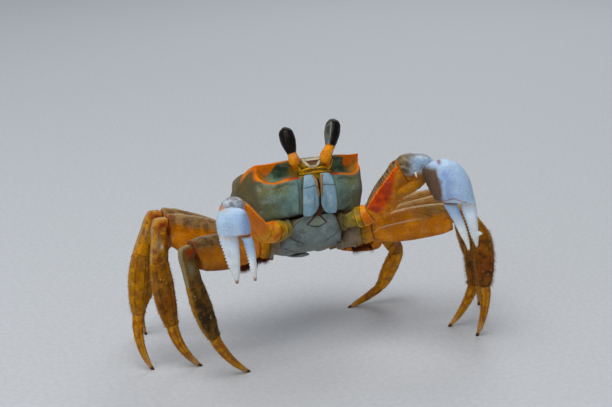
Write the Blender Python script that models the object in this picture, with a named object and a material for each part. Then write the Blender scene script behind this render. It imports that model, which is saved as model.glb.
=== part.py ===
# Atlantic ghost crab (Ocypode quadrata), life size, standing high on its eight
# walking legs with both claws hanging.  Metres, +Z up.  The crab faces -Y, its
# left side is +X, and the floor is Z = 0.
import math

import bmesh
import bpy
import numpy as np
from mathutils import Vector

# ----------------------------------------------------------------------------
# driving dimensions (millimetres and degrees)
# ----------------------------------------------------------------------------
MM = 0.001
GAP = 0.30                   # clearance between neighbouring pieces
BODY_PITCH = 27.0            # nose-up attitude of the body
BODY_AT = (-1.0, 0.4, 46.2)  # body centre above the floor
ORIGIN_SHIFT = (-5.58, 10.69)   # puts the origin at the bottom centre of the crab

HALF_WIDTH = 21.0            # carapace half width over the branchial regions
TOOTH_X = 17.3               # outer orbital tooth
REAR_Y = 18.4                # posterior margin
FLANK_SQUEEZE = 0.72         # rounds the flanks in beyond the orbital teeth
FLOOR_OF_SHELL = -8.0        # lower limit of the carapace in body coordinates
STERNUM_DEPTH = -17.7
STERNUM_HALF = 11.3

# walking legs: coxa position in body coordinates, then the four joint lengths
# (coxa to knee, carpus, propodus, dactyl)
LEG_COXA = {2: (12.0, -6.0, -15.5), 3: (12.5, 0.0, -16.0),
            4: (12.0, 6.0, -15.0), 5: (10.0, 11.2, -12.6)}
LEG_LENGTH = {2: (35.2, 10.5, 18.2, 18.1), 3: (37.6, 12.0, 19.5, 16.9),
              4: (38.8, 12.1, 17.9, 18.0), 5: (28.5, 9.6, 14.4, 13.8)}
LEG_GIRTH = {2: 1.0, 3: 1.05, 4: 1.0, 5: 0.92}
PROPODUS_BOW = 0.3           # outward sag of the centre line at mid length
DACTYL_BOW = {"R": 1.7, "L": 1.1}
# stance: azimuth of the leg's plane (forward positive), tilt of that plane,
# and the elevation of each of the four lengths inside it
LEG_STANCE = {
    "2_R": (16.1, -6.5, (9.6, -105.3, -107.0, -130.9)),
    "3_R": (-0.4, -4.9, (21.4, -88.9, -97.9, -121.0)),
    "4_R": (1.0, -7.6, (25.0, -69.3, -82.5, -100.5)),
    "5_R": (-24.4, 5.1, (9.7, -51.0, -79.4, -88.8)),
    "2_L": (24.6, 7.8, (13.5, -45.9, -83.1, -95.0)),
    "3_L": (17.6, 7.2, (18.9, -54.5, -85.2, -116.0)),
    "4_L": (3.1, 5.4, (17.7, -38.8, -71.6, -75.6)),
    "5_L": (-7.4, 16.2, (-7.7, -49.4, -104.6, -150.9)),
}
FOOT_FLAT = 0.50             # radius of the small flat under each leg tip

COLOURS = {
    "shell": (0.42, 0.45, 0.40), "sternum": (0.36, 0.40, 0.44),
    "mouth": (0.45, 0.50, 0.56), "stalk": (0.85, 0.52, 0.08),
    "cornea": (0.02, 0.015, 0.01), "merus": (0.66, 0.42, 0.16),
    "distal": (0.48, 0.34, 0.15), "claw": (0.74, 0.77, 0.78),
    "arm": (0.80, 0.40, 0.12),
}
ROUGH = {"cornea": 0.12}


# ----------------------------------------------------------------------------
# small tools
# ----------------------------------------------------------------------------
def clear_scene():
    for ob in list(bpy.data.objects):
        bpy.data.objects.remove(ob, do_unlink=True)


def material(kind):
    mat = bpy.data.materials.get(kind)
    if mat is None:
        mat = bpy.data.materials.new(kind)
        mat.use_nodes = True
        bsdf = mat.node_tree.nodes["Principled BSDF"]
        bsdf.inputs["Base Color"].default_value = (*COLOURS[kind], 1.0)
        bsdf.inputs["Roughness"].default_value = ROUGH.get(kind, 0.5)
        bsdf.inputs["Metallic"].default_value = 0.0
    return mat


def unit(v):
    v = np.asarray(v, float)
    return v / np.linalg.norm(v)


PITCH = math.radians(BODY_PITCH)
BODY_ROT = np.array([[1, 0, 0],
                     [0, math.cos(PITCH), math.sin(PITCH)],
                     [0, -math.sin(PITCH), math.cos(PITCH)]])


def body(p):
    """Body coordinates to crab coordinates."""
    return BODY_ROT @ np.asarray(p, float) + np.array(BODY_AT)


def tween(table, x):
    """Smooth value from a short table of (station, value or values)."""
    xs = [t[0] for t in table]
    vals = [np.atleast_1d(np.asarray(t[1], float)) for t in table]
    if x <= xs[0]:
        out = vals[0]
    elif x >= xs[-1]:
        out = vals[-1]
    else:
        i = next(k for k in range(len(xs) - 1) if xs[k] <= x <= xs[k + 1])
        h = xs[i + 1] - xs[i]
        f = (x - xs[i]) / h

        def slope(k):
            if k == 0 or k == len(xs) - 1:
                return np.zeros_like(vals[0])
            a = (vals[k] - vals[k - 1]) / (xs[k] - xs[k - 1])
            b = (vals[k + 1] - vals[k]) / (xs[k + 1] - xs[k])
            return np.where(a * b > 0, 2 * a * b / (a + b + 1e-12 * np.sign(a + b + 1e-30)), 0.0)
        m0, m1 = slope(i) * h, slope(i + 1) * h
        out = ((2 * f**3 - 3 * f**2 + 1) * vals[i] + (f**3 - 2 * f**2 + f) * m0
               + (-2 * f**3 + 3 * f**2) * vals[i + 1] + (f**3 - f**2) * m1)
    return float(out[0]) if out.size == 1 else out


def skin_rings(name, rings, kind):
    """One closed body through equal rings of points, with fanned ends."""
    bm = bmesh.new()
    move = Vector((*ORIGIN_SHIFT, 0.0))
    rows = [[bm.verts.new((Vector(p) + move) * MM) for p in ring] for ring in rings]
    n = len(rows[0])
    for a, b in zip(rows[:-1], rows[1:]):
        for i in range(n):
            j = (i + 1) % n
            bm.faces.new((a[i], a[j], b[j], b[i]))
    for row, flip in ((rows[0], True), (rows[-1], False)):
        centre = sum((v.co for v in row), Vector()) / n
        mid = bm.verts.new(centre)
        for i in range(n):
            j = (i + 1) % n
            bm.faces.new((row[j], row[i], mid) if flip else (row[i], row[j], mid))
    bmesh.ops.triangulate(bm, faces=[f for f in bm.faces if len(f.verts) > 3])
    bmesh.ops.recalc_face_normals(bm, faces=bm.faces)
    if bm.calc_volume(signed=True) < 0:
        bmesh.ops.reverse_faces(bm, faces=bm.faces)
    mesh = bpy.data.meshes.new(name)
    bm.to_mesh(mesh)
    bm.free()
    mesh.shade_smooth()
    mesh.set_sharp_from_angle(angle=math.radians(48))
    ob = bpy.data.objects.new(name, mesh)
    bpy.context.scene.collection.objects.link(ob)
    mesh.materials.append(material(kind))
    return ob


def oval(centre, a, b, ra, rb, n, power=2.3, turn=0.0):
    """Super-ellipse ring in the plane of unit vectors a and b."""
    pts = []
    for i in range(n):
        t = 2 * math.pi * (i + turn) / n
        c, s = math.cos(t), math.sin(t)
        k = (abs(c) ** power + abs(s) ** power) ** (-1.0 / power)
        pts.append(np.asarray(centre) + a * (ra * k * c) + b * (rb * k * s))
    return pts


def filleted(points, trims, step=0.5):
    """Straight runs joined by circular arcs; returns points and tangents."""
    pts = [np.asarray(p, float) for p in points]
    out = [pts[0]]
    for i in range(1, len(pts) - 1):
        d0, d1 = unit(pts[i] - pts[i - 1]), unit(pts[i + 1] - pts[i])
        turn = math.acos(max(-1.0, min(1.0, float(d0 @ d1))))
        t = trims[i - 1]
        if turn < 0.02:
            out.append(pts[i])
            continue
        r = t / math.tan(turn / 2)
        start = pts[i] - d0 * t
        side = unit(d1 - d0 * float(d0 @ d1))
        centre = start + side * r
        m = max(2, int(turn / 0.12))
        for k in range(m + 1):
            a = turn * k / m
            out.append(centre - side * (r * math.cos(a)) + d0 * (r * math.sin(a)))
    out.append(pts[-1])
    out = np.array(out)
    arc = np.concatenate([[0], np.cumsum(np.linalg.norm(np.diff(out, axis=0), axis=1))])
    s = np.linspace(0, arc[-1], max(8, int(arc[-1] / step)))
    p = np.stack([np.interp(s, arc, out[:, k]) for k in range(3)], 1)
    return s, p


class Route:
    """A limb's centre line with its bending plane."""

    def __init__(self, points, trims, normal=None):
        self.s, self.p = filleted(points, trims)
        self.length = self.s[-1]
        self.normals = normal if isinstance(normal, list) else [(0.0, normal)]

    def bow(self, s0, s1, sag, outward):
        """Bends the stretch s0..s1 outward by `sag` at its middle."""
        moved = self.p.copy()
        for i, s in enumerate(self.s):
            if s0 < s < s1:
                f = (s - s0) / (s1 - s0)
                h = self.frame(s)[2]
                h = h if float(h @ outward) > 0 else -h
                moved[i] = self.p[i] + h * (sag * 4 * f * (1 - f) * abs(float(h @ outward)))
        self.p = moved

    def at(self, s):
        return np.array([np.interp(s, self.s, self.p[:, k]) for k in range(3)])

    def frame(self, s):
        e = 0.35
        t = unit(self.at(min(s + e, self.length)) - self.at(max(s - e, 0)))
        turn = np.array([np.interp(s / self.length, [q[0] for q in self.normals],
                                   [unit(q[1])[k] for q in self.normals]) for k in range(3)])
        n = unit(turn - t * float(t @ turn))
        return t, n, np.cross(n, t)


class Bend:
    """A knee: where its curve starts, and how the pieces either side keep clear of each other."""

    def __init__(self, pts, trim, k):
        d0, d1 = unit(pts[1] - pts[0]), unit(pts[2] - pts[1])
        self.turn = math.acos(float(d0 @ d1))
        self.radius = trim / math.tan(self.turn / 2)
        self.start = float(np.linalg.norm(pts[1] - pts[0])) - trim
        self.end = self.start + self.radius * self.turn
        self.folded = self.turn > math.radians(88)
        self.trim, self.reach = trim, KNEE_REACH * k

    def cut_back(self, height):
        """How much earlier a folded merus ends, at this height above its centre line."""
        if not self.folded:
            return 0.0
        end = -(self.reach + GAP) / math.sin(self.turn) - height / math.tan(self.turn)
        return max(0.0, -self.trim - end)

    def shape(self, ring, centre, outward, s):
        """Inside the curve: the inner side stops short of its centre, the outer side is drawn to a
        corner.  Beyond a folded knee the inner side stays within reach."""
        out = []
        inside = self.start - 0.01 < s < self.end
        angle = min(max((s - self.start) / self.radius, 0.0), self.turn)
        sharp = min(1 / math.cos(angle) if angle < 1.4 else 9.0,
                    1 / math.cos(self.turn - angle) if self.turn - angle < 1.4 else 9.0)
        for p in ring:
            v = float((p - centre) @ outward)
            w = v
            if inside and v > 0:
                w = (v + self.radius) * (1 + KNEE_CORNER * (sharp - 1)) - self.radius
                w = v + (w - v) * min(1.0, v / 1.5)
            if v < 0:
                limit = self.radius - 0.12 if inside else 99.0
                if self.folded and not inside:
                    limit = min(self.reach, self.radius - 0.12 + 0.9 * (s - self.end))
                w = max(v, -limit)
            out.append(p + outward * (w - v))
        return out


def limb_piece(name, route, s0, s1, profile, kind, rings, n=10, power=2.3,
               ends=(GAP / 2, GAP / 2), flat_tip=False, wall=None, slant=None, bend=None):
    """Length of a limb between two cuts.  profile: (fraction, half height,
    half thickness, how far the section hangs below the centre line)."""
    a, b = s0 + ends[0], s1 - ends[1]
    up = math.copysign(1.0, float(route.frame(0.5)[2][2]))
    rows = []
    for i in range(rings):
        f = i / (rings - 1)
        s = a + (b - a) * f
        t, nn, h = route.frame(s)
        hh, tt, sag = tween([(q[0], (*q[1:], 0.0)[:3]) for q in profile], f)
        c = route.at(s) - h * (sag * up)
        if flat_tip and i == rings - 1:
            # the last ring lies on the floor
            nn = unit(np.array([nn[0], nn[1], 0.0]))
            h = np.array([-nn[1], nn[0], 0.0]) * (1 if np.cross(nn, t)[:2] @ np.array([-nn[1], nn[0]]) > 0 else -1)
            c = np.array([c[0], c[1], 0.0])
            hh = tt = FOOT_FLAT
        ring = oval(c, h, nn, hh, tt, n, power, 0.5)
        if flat_tip:
            ring = [np.array((p[0], p[1], max(p[2], 0.0))) for p in ring]
        if bend is not None:
            ring = bend.shape(ring, route.at(s), h * up, s)
        if slant is not None and f > 0:
            ring = [p - t * (f * slant.cut_back(float((p - route.at(s)) @ h) * up)) for p in ring]
        if wall is not None and i == 0:
            # the first ring lies flat against the body's side wall
            ring = [p - t * ((p - BODY_AT)[0] - wall) / t[0] for p in ring]
        rows.append(ring)
    return skin_rings(name, rows, kind)


# ----------------------------------------------------------------------------
# body shell: sagittal sections strung along X
# ----------------------------------------------------------------------------
def shell_section(x):
    """Closed section (y, z) of the carapace at distance |x| from the middle."""
    s = abs(x)
    side = min(1.0, max(0.0, (s - 17.0) / 4.0))
    top = tween([(0, 10.9), (8, 10.5), (14, 9.6), (18, 8.4), (20, 6.6), (21, 5.0)], s)
    front_y = tween([(0, -18.6), (2.6, -18.5), (4.4, -17.2), (9, -16.9), (13, -15.6),
                     (17.3, -14.0), (18.3, -10.5), (20, -6.5), (21, -4.5)], s)
    front_z = tween([(0, 7.3), (2.6, 7.4), (4.4, 7.9), (9, 8.1), (13, 8.1), (17.3, 8.3),
                     (18.3, 7.9), (20, 6.3), (21, 4.4)], s)
    low_y = tween([(0, -17.2), (4.2, -17.3), (5.6, -17.2), (9, -16.6), (13, -15.8),
                   (17.3, -13.4), (18.3, -10.3), (20, -6.4), (21, -4.3)], s)
    low_z = tween([(0, 3.4), (4.2, 3.3), (5.6, 3.0), (9, 2.8), (13, 2.4), (15.5, 3.2),
                   (17.3, 4.9), (18.3, 5.0), (20, 3.6), (21, 2.6)], s)
    pit = tween([(0, 0.5), (3.4, 0.6), (4.6, 3.2), (13, 3.4), (15.5, 2.2), (17.3, 0.5),
                 (18.3, 0.15), (21, 0.1)], s)
    cheek_y = tween([(0, -16.1), (5.9, -16.1), (6.6, -16.9), (9, -16.2), (13, -15.2),
                     (17.3, -12.4), (18.3, -9.8), (20, -5.6), (21, -3.6)], s)
    cheek_z = tween([(0, -1.6), (6, -1.8), (13, -2.2), (17.3, -1.8), (20, -0.6), (21, 0.6)], s)
    hem_y = tween([(0, -13.4), (5.9, -13.4), (6.6, -13.8), (8.4, -12.5), (13.8, -10.4),
                   (16.5, -8.4), (18.3, -6.2), (20, -3.5), (21, -2.0)], s)
    hem_z = tween([(0, -7.9), (6.2, -7.4), (8.4, -7.6), (13.8, -7.7), (16.5, -7.6),
                   (18.3, -6.0), (20, -3.0), (21, -1.2)], s)
    rear_y = tween([(0, REAR_Y), (9, REAR_Y - 0.2), (12, 17.3), (15, 14.6), (18.3, 9.8), (20, 5.6),
                    (21, 2.8)], s)
    rear_z = tween([(0, 2.8), (9, 2.6), (12, 2.4), (18.3, 3.0), (21, 2.4)], s)
    foot_y = rear_y - tween([(0, 2.6), (12, 2.8), (18.3, 1.8), (21, 0.8)], s)
    foot_z = tween([(0, -7.6), (12, -7.7), (16.5, -7.4), (18.3, -5.2), (20, -2.6), (21, -0.9)], s)
    key = [
        (rear_y, rear_z), (rear_y - 4.4, rear_z + 0.52 * (top - rear_z)),
        (rear_y * 0.36, top - 0.7 * (1 - side)), (0.6, top), (front_y * 0.45, top - 0.55),
        (front_y * 0.78, front_z + 0.42 * (top - front_z)),
        (front_y, front_z),
        (front_y + 0.45 * pit + 0.15, front_z - 0.75),
        (front_y + pit, 0.62 * front_z + 0.38 * low_z),
        (low_y + pit, 0.25 * front_z + 0.75 * low_z),
        (low_y + 0.40 * pit + 0.15, low_z + 0.35),
        (low_y, low_z - 0.25),
        (0.5 * (low_y + cheek_y) - 0.05, 0.5 * (low_z + cheek_z)),
        (cheek_y, cheek_z), (0.45 * cheek_y + 0.55 * hem_y - 0.45, 0.45 * cheek_z + 0.55 * hem_z),
        (hem_y, hem_z),
        (hem_y + 1.3, hem_z - 0.12), (0.6 * hem_y + 0.4 * foot_y, 0.5 * (hem_z + foot_z) - 0.1),
        (0.2 * hem_y + 0.8 * foot_y, foot_z - 0.05), (foot_y, foot_z),
        (0.5 * (foot_y + rear_y) + 0.5, 0.45 * foot_z + 0.55 * rear_z - 0.7),
    ]
    return key


def carapace():
    half = [0.0, 2.6, 4.4, 6.0, 9.0, 12.0, 14.5, 16.2, 17.3, 18.2, 19.3, 20.3, HALF_WIDTH]
    xs = [-x for x in half[:0:-1]] + half
    rings = []
    for x in xs:
        over = max(0.0, abs(x) - TOOTH_X)
        sx = math.copysign(abs(x) - over * (1 - FLANK_SQUEEZE), x)
        rings.append([body((sx, y, z)) for y, z in shell_section(x)])
    return skin_rings("carapace", rings, "shell")


# ----------------------------------------------------------------------------
# thoracic sternum: sagittal sections below the shell
# ----------------------------------------------------------------------------
def sternum_section(x):
    s = abs(x)
    top = FLOOR_OF_SHELL - GAP - 0.05
    nose_y = tween([(0, -13.0), (4.6, -13.0), (6.5, -12.2), (8.0, -10.0), (9.0, -8.4), (11.3, -4.8)], s)
    nose_z = tween([(0, -8.5), (4.6, -8.6), (6.5, -9.3), (8.0, -11.0), (9.0, -12.6), (11.3, -14.6)], s)
    chin_y = tween([(0, -10.9), (6.5, -9.0), (9.0, -6.4), (11.3, -3.4)], s)
    chin_z = tween([(0, -13.2), (6.5, -13.9), (9.0, -15.2), (11.3, -16.2)], s)
    keel = tween([(0, STERNUM_DEPTH), (6, STERNUM_DEPTH + 0.2), (11.3, STERNUM_DEPTH + 1.4)], s)
    back_y = tween([(0, 14.8), (6, 14.2), (9, 12.6), (11.3, 9.8)], s)
    trough = tween([(0, 0.8), (3.8, 0.8), (5.2, 0.0)], s)      # the abdomen lies in it
    key = [(nose_y, nose_z), (0.5 * (nose_y + chin_y) - 0.2, 0.5 * (nose_z + chin_z)),
           (chin_y, chin_z), (chin_y + 2.4, 0.45 * chin_z + 0.55 * keel),
           (-3.2 + s * 0.1, keel), (3.0, keel + 0.05 + trough), (8.5, keel + 2.6 + trough),
           (back_y - 1.4, -13.0), (back_y, -10.4), (back_y - 0.6, top),
           (6.0, top), (-2.0, top), (min(nose_y + 2.0, -3.2), top)]
    return key


def sternum():
    half = [0.0, 2.6, 4.6, 6.6, 9.0, 10.6, 11.3]
    xs = [-x for x in half[:0:-1]] + half
    rings = [[body((x, y, z)) for y, z in sternum_section(x)] for x in xs]
    return skin_rings("sternum", rings, "sternum")


def abdomen():
    """Narrow tail plate folded forward under the sternum."""
    path = [(15.9, -9.2), (15.0, -12.2), (11.8, -14.8), (8.8, -16.0), (6.0, -16.95), (4.0, -17.4),
            (2.6, -17.6), (1.4, -17.6)]
    width = [5.0, 4.7, 4.2, 3.7, 3.2, 2.7, 2.1, 1.2]
    rings = []
    for i, ((y, z), w) in enumerate(zip(path, width)):
        y0, z0 = path[max(i - 1, 0)]
        y1, z1 = path[min(i + 1, len(path) - 1)]
        t = unit((0, y1 - y0, z1 - z0))
        out = np.array((0, -t[2], t[1]))
        if out[2] > 0.3 or (abs(out[2]) < 0.3 and out[1] < 0):
            out = -out
        c = np.array((0.0, y, z)) + out * 0.4
        rings.append([body(p) for p in oval(c, np.array((1.0, 0, 0)), out, w, 0.55, 12, 2.6, 0.5)])
    return skin_rings("abdomen", rings, "sternum")


# ----------------------------------------------------------------------------
# mouth parts and eyes
# ----------------------------------------------------------------------------
def maxilliped(side):
    sx = 1 if side == "L" else -1
    path = [(-17.9, 2.8), (-18.2, 1.2), (-17.85, -1.0), (-17.3, -3.4), (-16.4, -5.8), (-15.5, -7.6), (-14.9, -8.7)]
    inner = [1.2, 0.9, 0.6, 0.4, 0.45, 1.3, 2.7]
    outer = [4.1, 4.7, 5.2, 5.5, 5.6, 5.6, 5.4]
    rings = []
    for i, (y, z) in enumerate(path):
        y0, z0 = path[max(i - 1, 0)]
        y1, z1 = path[min(i + 1, len(path) - 1)]
        t = unit((0, y1 - y0, z1 - z0))
        out = np.array((0, t[2], -t[1]))
        thick = 0.62 if 0 < i < len(path) - 1 else 0.4
        mid = 0.5 * (inner[i] + outer[i])
        rings.append([body(p) for p in oval((sx * mid, y, z), np.array((1.0, 0, 0)), out,
                                            0.5 * (outer[i] - inner[i]), thick, 12, 2.8, 0.5)])
    return skin_rings("maxilliped_" + side, rings, "mouth")


EYE = {  # route in body coordinates: inside the orbit, over the rim, up to the tip
    "R": ((-6.2, -17.2, 5.9), (-6.9, -19.6, 7.2), (-7.2, -19.5, 9.6), (-7.9, -19.2, 17.9)),
    "L": ((4.6, -17.9, 5.6), (2.5, -20.9, 7.2), (5.2, -20.6, 10.2), (8.9, -19.3, 18.7)),
}
EYE_STALK = [(0.0, 1.0), (0.25, 1.4), (0.50, 1.95), (0.80, 1.55), (1.0, 1.5)]
EYE_CORNEA = [(0.0, 1.5), (0.2, 2.0), (0.55, 2.58), (0.78, 2.45), (0.92, 1.7), (1.0, 0.7)]
STALK_SHARE = {"R": 0.40, "L": 0.43}


def eye(side):
    pts = [body(p) for p in EYE[side]]
    route = Route(pts, (1.2, 1.6), normal=(1, 0, 0))
    total = route.length
    cut_at = total * STALK_SHARE[side]
    stalk, cornea = [], []
    for i in range(7):
        f = i / 6
        s = f * (cut_at - 0.15)
        t, n, h = route.frame(s)
        r = tween(EYE_STALK, f)
        stalk.append(oval(route.at(s), h, n, r, r, 12, 2.1))
    for i in range(8):
        f = math.sin(0.5 * math.pi * i / 7)
        s = cut_at + 0.15 + f * (total - cut_at - 0.15)
        t, n, h = route.frame(s)
        r = tween(EYE_CORNEA, f)
        cornea.append(oval(route.at(s), h, n, r, r * 0.96, 12, 2.1))
    skin_rings("eyestalk_" + side, stalk, "stalk")
    skin_rings("cornea_" + side, cornea, "cornea")


# ----------------------------------------------------------------------------
# walking legs
# ----------------------------------------------------------------------------
BASE = [(0, 2.1, 1.7), (0.25, 3.2, 2.3), (0.6, 3.5, 2.4), (1, 3.1, 2.25)]
MERUS = [(0, 3.2, 2.25, 0), (0.25, 4.9, 2.5, 0.2), (0.55, 5.4, 2.45, 0.5), (0.85, 5.1, 2.35, 0.9), (1, 4.4, 2.2, 1.0)]
CARPUS = {"open": [(0, 3.1, 2.1, 0), (0.3, 3.0, 2.15, 0), (0.65, 2.9, 2.1, 0), (1, 2.6, 1.9, 0)],
          "folded": [(0, 2.4, 2.1, 0.3), (0.3, 2.35, 2.15, 0.45), (0.65, 2.5, 2.1, 0.3), (1, 2.6, 1.9, 0)]}
PROPODUS = [(0, 2.65, 1.95, 0), (0.35, 3.05, 2.1, 0), (0.7, 2.75, 1.95, 0), (1, 1.95, 1.6, 0)]
DACTYL = [(0, 1.7, 1.45), (0.2, 1.55, 1.3), (0.5, 1.2, 1.05), (0.8, 0.8, 0.75), (1, 0.5, 0.5)]
KNEE_TRIM = 2.6              # how far each side of the knee its curve reaches
KNEE_CORNER = 0.30           # how angular the outside of the knee is
KNEE_REACH = 3.0             # inner half width of a folded carpus, cleared by the merus


def leg_joints(key):
    number, side = int(key[0]), (1 if key[2] == "L" else -1)
    x, y, z = LEG_COXA[number]
    start = body((side * x, y, z))
    az, tilt, angles = LEG_STANCE[key]
    az, tilt = math.radians(az), math.radians(tilt)
    out = np.array([side * math.cos(az), -math.sin(az), 0.0])
    fwd = np.array([-side * math.sin(az), -math.cos(az), 0.0])
    up = np.array([0, 0, 1.0]) * math.cos(tilt) + fwd * math.sin(tilt)
    pts = [start]
    for angle, length in zip(angles, LEG_LENGTH[number]):
        a = math.radians(angle)
        pts.append(pts[-1] + (out * math.cos(a) + up * math.sin(a)) * length)
    pts[-1][2] = 0.0
    return pts, np.cross(out, up)


def scaled(profile, k):
    return [(q[0], *(v * k for v in q[1:])) for q in profile]


def leg(key):
    number = int(key[0])
    side = 1 if key[2] == "L" else -1
    pts, normal = leg_joints(key)
    k = LEG_GIRTH[number]
    trim = KNEE_TRIM * (0.8 if number == 5 else 1.0)
    route = Route(pts, (trim, 1.8, 2.2), normal)
    bend = Bend(pts, trim, k)

    def arc_of(p):
        return float(route.s[np.argmin(np.linalg.norm(route.p - p, axis=1))])
    cp, pd = arc_of(pts[2]), arc_of(pts[3])
    outward = np.array([float(side), 0.0, 0.0])
    route.bow(cp, pd, PROPODUS_BOW, outward)
    route.bow(pd, route.length, DACTYL_BOW[key[2]], outward)
    base_len = 8.0 if number != 5 else 6.4
    knee = bend.start
    limb_piece("leg%s_base" % key, route, 1.8, base_len, scaled(BASE, min(k, 1.0) * (0.88 if number == 5 else 1.0)),
               "arm", 5, power=2.4,
               wall=side * (STERNUM_HALF + GAP))
    limb_piece("leg%s_merus" % key, route, base_len, knee, scaled(MERUS, k), "merus", 7, power=2.5,
               slant=bend)
    limb_piece("leg%s_carpus" % key, route, knee, cp, scaled(CARPUS["folded" if bend.folded else "open"], k),
               "merus", 9, power=2.4, bend=bend)
    limb_piece("leg%s_propodus" % key, route, cp, pd, scaled(PROPODUS, k), "distal", 5, power=2.6)
    limb_piece("leg%s_dactyl" % key, route, pd, route.length, scaled(DACTYL, k), "distal", 7,
               power=2.3, ends=(GAP / 2, 0.0), flat_tip=True)


# ----------------------------------------------------------------------------
# claws: the arm is a limb, the hand is built from its outline
# ----------------------------------------------------------------------------
# hand outline: distance down from the wrist, left edge, right edge (seen from
# the front), half thickness
HAND_L = {
    "at": (28.64, -36.9, 63.2),
    "palm": [(0.0, -0.6, 2.6, 1.9), (1.2, -3.6, 5.0, 2.9), (3.5, -5.4, 7.2, 3.6), (5.9, -4.7, 8.6, 3.9),
             (8.3, -3.5, 9.3, 3.9), (10.6, -2.3, 9.9, 3.6), (12.3, -0.9, 10.4, 3.2)],
    "finger": [(12.5, 6.0, 10.5, 2.6), (13.6, 6.2, 10.7, 2.1), (16.3, 7.1, 11.1, 1.8), (20.1, 8.6, 11.5, 1.45),
               (21.7, 9.1, 11.7, 1.3), (22.5, 9.4, 12.9, 1.2), (23.3, 9.7, 11.9, 1.1), (26.8, 11.0, 11.8, 0.45)],
    "dactyl": [(12.9, 1.0, 5.4, 1.9), (15.7, 2.3, 5.9, 1.8), (18.9, 4.2, 7.2, 1.5), (22.8, 6.2, 8.5, 1.1),
               (27.9, 8.6, 9.4, 0.45)],
}
HAND_R = {
    "at": (-39.26, -41.5, 59.74),
    "palm": [(1.6, -2.2, 1.8, 1.8), (2.4, -3.8, 3.0, 2.6), (3.6, -4.5, 3.5, 3.0), (5.2, -4.9, 4.0, 3.2),
             (7.1, -4.7, 4.3, 3.0), (8.5, -4.5, 4.4, 2.7)],
    "finger": [(8.7, -4.4, 1.1, 2.4), (9.8, -4.2, 1.1, 2.1), (13.0, -3.2, 1.3, 1.7), (17.6, -1.8, 1.4, 1.25), (20.6, -0.6, 1.3, 0.95),
               (22.9, 0.1, 0.9, 0.45)],
    "dactyl": [(9.1, 1.7, 4.6, 1.7), (11.4, 2.6, 5.2, 1.6), (15.4, 3.6, 5.8, 1.3), (19.0, 4.4, 6.0, 0.95),
               (22.1, 5.1, 5.9, 0.4)],
}
FACING = math.radians(26.0)          # the hands' flat sides face this azimuth
HAND_SIDE = np.array([math.cos(FACING), -math.sin(FACING), 0.0])
HAND_DOWN = unit(np.array([0.0, 0.0, -1.0]))
HAND_OUT = np.cross(HAND_SIDE, HAND_DOWN)

ARM_L = [(8.0, -15.3, 41.2), (15.2, -20.4, 44.4), (20.23, -30.4, 62.73), (30.87, -29.55, 57.60)]
ARM_R = [(-9.8, -15.3, 41.2), (-21.8, -21.4, 43.2), (-35.0, -33.6, 56.0), (-40.3, -36.4, 57.0)]
CARPUS_AT = {"L": 1.6, "R": 1.2}     # how far before the bend the carpus starts
CARPUS_SHAPE = {"L": [(0, 5.45, 2.85, 0.72), (0.12, 5.8, 2.9, 0.6), (0.48, 5.4, 2.9, 0.9), (0.81, 3.9, 2.5, 1.1),
                      (1, 2.2, 1.6, 0.6)],
                "R": [(0, 2.75, 2.5), (0.3, 3.1, 2.5), (0.6, 3.1, 2.4), (0.85, 2.6, 2.0), (1, 1.7, 1.3)]}
COXA_SHAPE = [(0, 2.0, 1.9), (0.25, 3.0, 2.7), (0.6, 3.3, 2.9), (1, 3.0, 2.6)]
ARM_SHAPE = {"L": [(0, 3.3, 2.6, 0.3), (0.25, 4.3, 2.9, 0.8), (0.5, 4.65, 3.0, 0.95), (0.7, 4.5, 2.9, 1.0),
                   (0.82, 4.45, 2.75, 1.1), (1, 5.3, 2.85, 0.78)],
             "R": [(0, 2.8, 2.5), (0.3, 2.8, 2.6), (0.6, 2.8, 2.6), (0.85, 2.75, 2.5), (1, 2.7, 2.45)]}


def hand(side):
    spec = HAND_L if side == "L" else HAND_R
    at = np.array(spec["at"])

    def row(d, left, right, thick, n, power=2.4):
        c = at + HAND_DOWN * d + HAND_SIDE * (0.5 * (left + right))
        return oval(c, HAND_SIDE, HAND_OUT, 0.5 * (right - left), thick, n, power, 0.5)
    palm = [row(*q, 14) for q in spec["palm"]]
    palm += [row(*q, 14, 2.2) for q in spec["finger"]]
    skin_rings("claw_%s_palm" % side, palm, "claw")
    skin_rings("claw_%s_dactyl" % side, [row(*q, 12, 2.2) for q in spec["dactyl"]], "claw")


def arm(side):
    """Coxa and ischium, merus and carpus along one bent route."""
    pts = [np.array(p) for p in (ARM_L if side == "L" else ARM_R)]
    sign = 1 if side == "L" else -1
    first = np.cross(pts[1] - pts[0], pts[2] - pts[1])
    second = np.cross(pts[2] - pts[1], pts[3] - pts[2])
    if float(first @ second) < 0:
        second = -second
    route = Route(pts, (3.0, 8.0 if side == "L" else 3.6), [(0.0, first), (0.25, first), (0.75, second)])
    elbow, bend = (float(route.s[np.argmin(np.linalg.norm(route.p - q, axis=1))]) for q in pts[1:3])
    cut_at = bend - CARPUS_AT[side]
    limb_piece("claw_%s_base" % side, route, 0, elbow, COXA_SHAPE, "arm", 5, n=12, ends=(2.6, GAP / 2),
               wall=sign * 9.4)
    limb_piece("claw_%s_merus" % side, route, elbow, cut_at, ARM_SHAPE[side], "arm", 8, n=12)
    limb_piece("claw_%s_carpus" % side, route, cut_at, route.length, CARPUS_SHAPE[side], "claw", 9, n=12,
               ends=(GAP / 2, 0.0))


def build():
    clear_scene()
    carapace()
    sternum()
    abdomen()
    for side in "RL":
        maxilliped(side)
        eye(side)
        arm(side)
        hand(side)
    for key in LEG_STANCE:
        leg(key)


build()
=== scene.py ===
import math

import bpy
import numpy as np
from mathutils import Matrix, Vector


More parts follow.
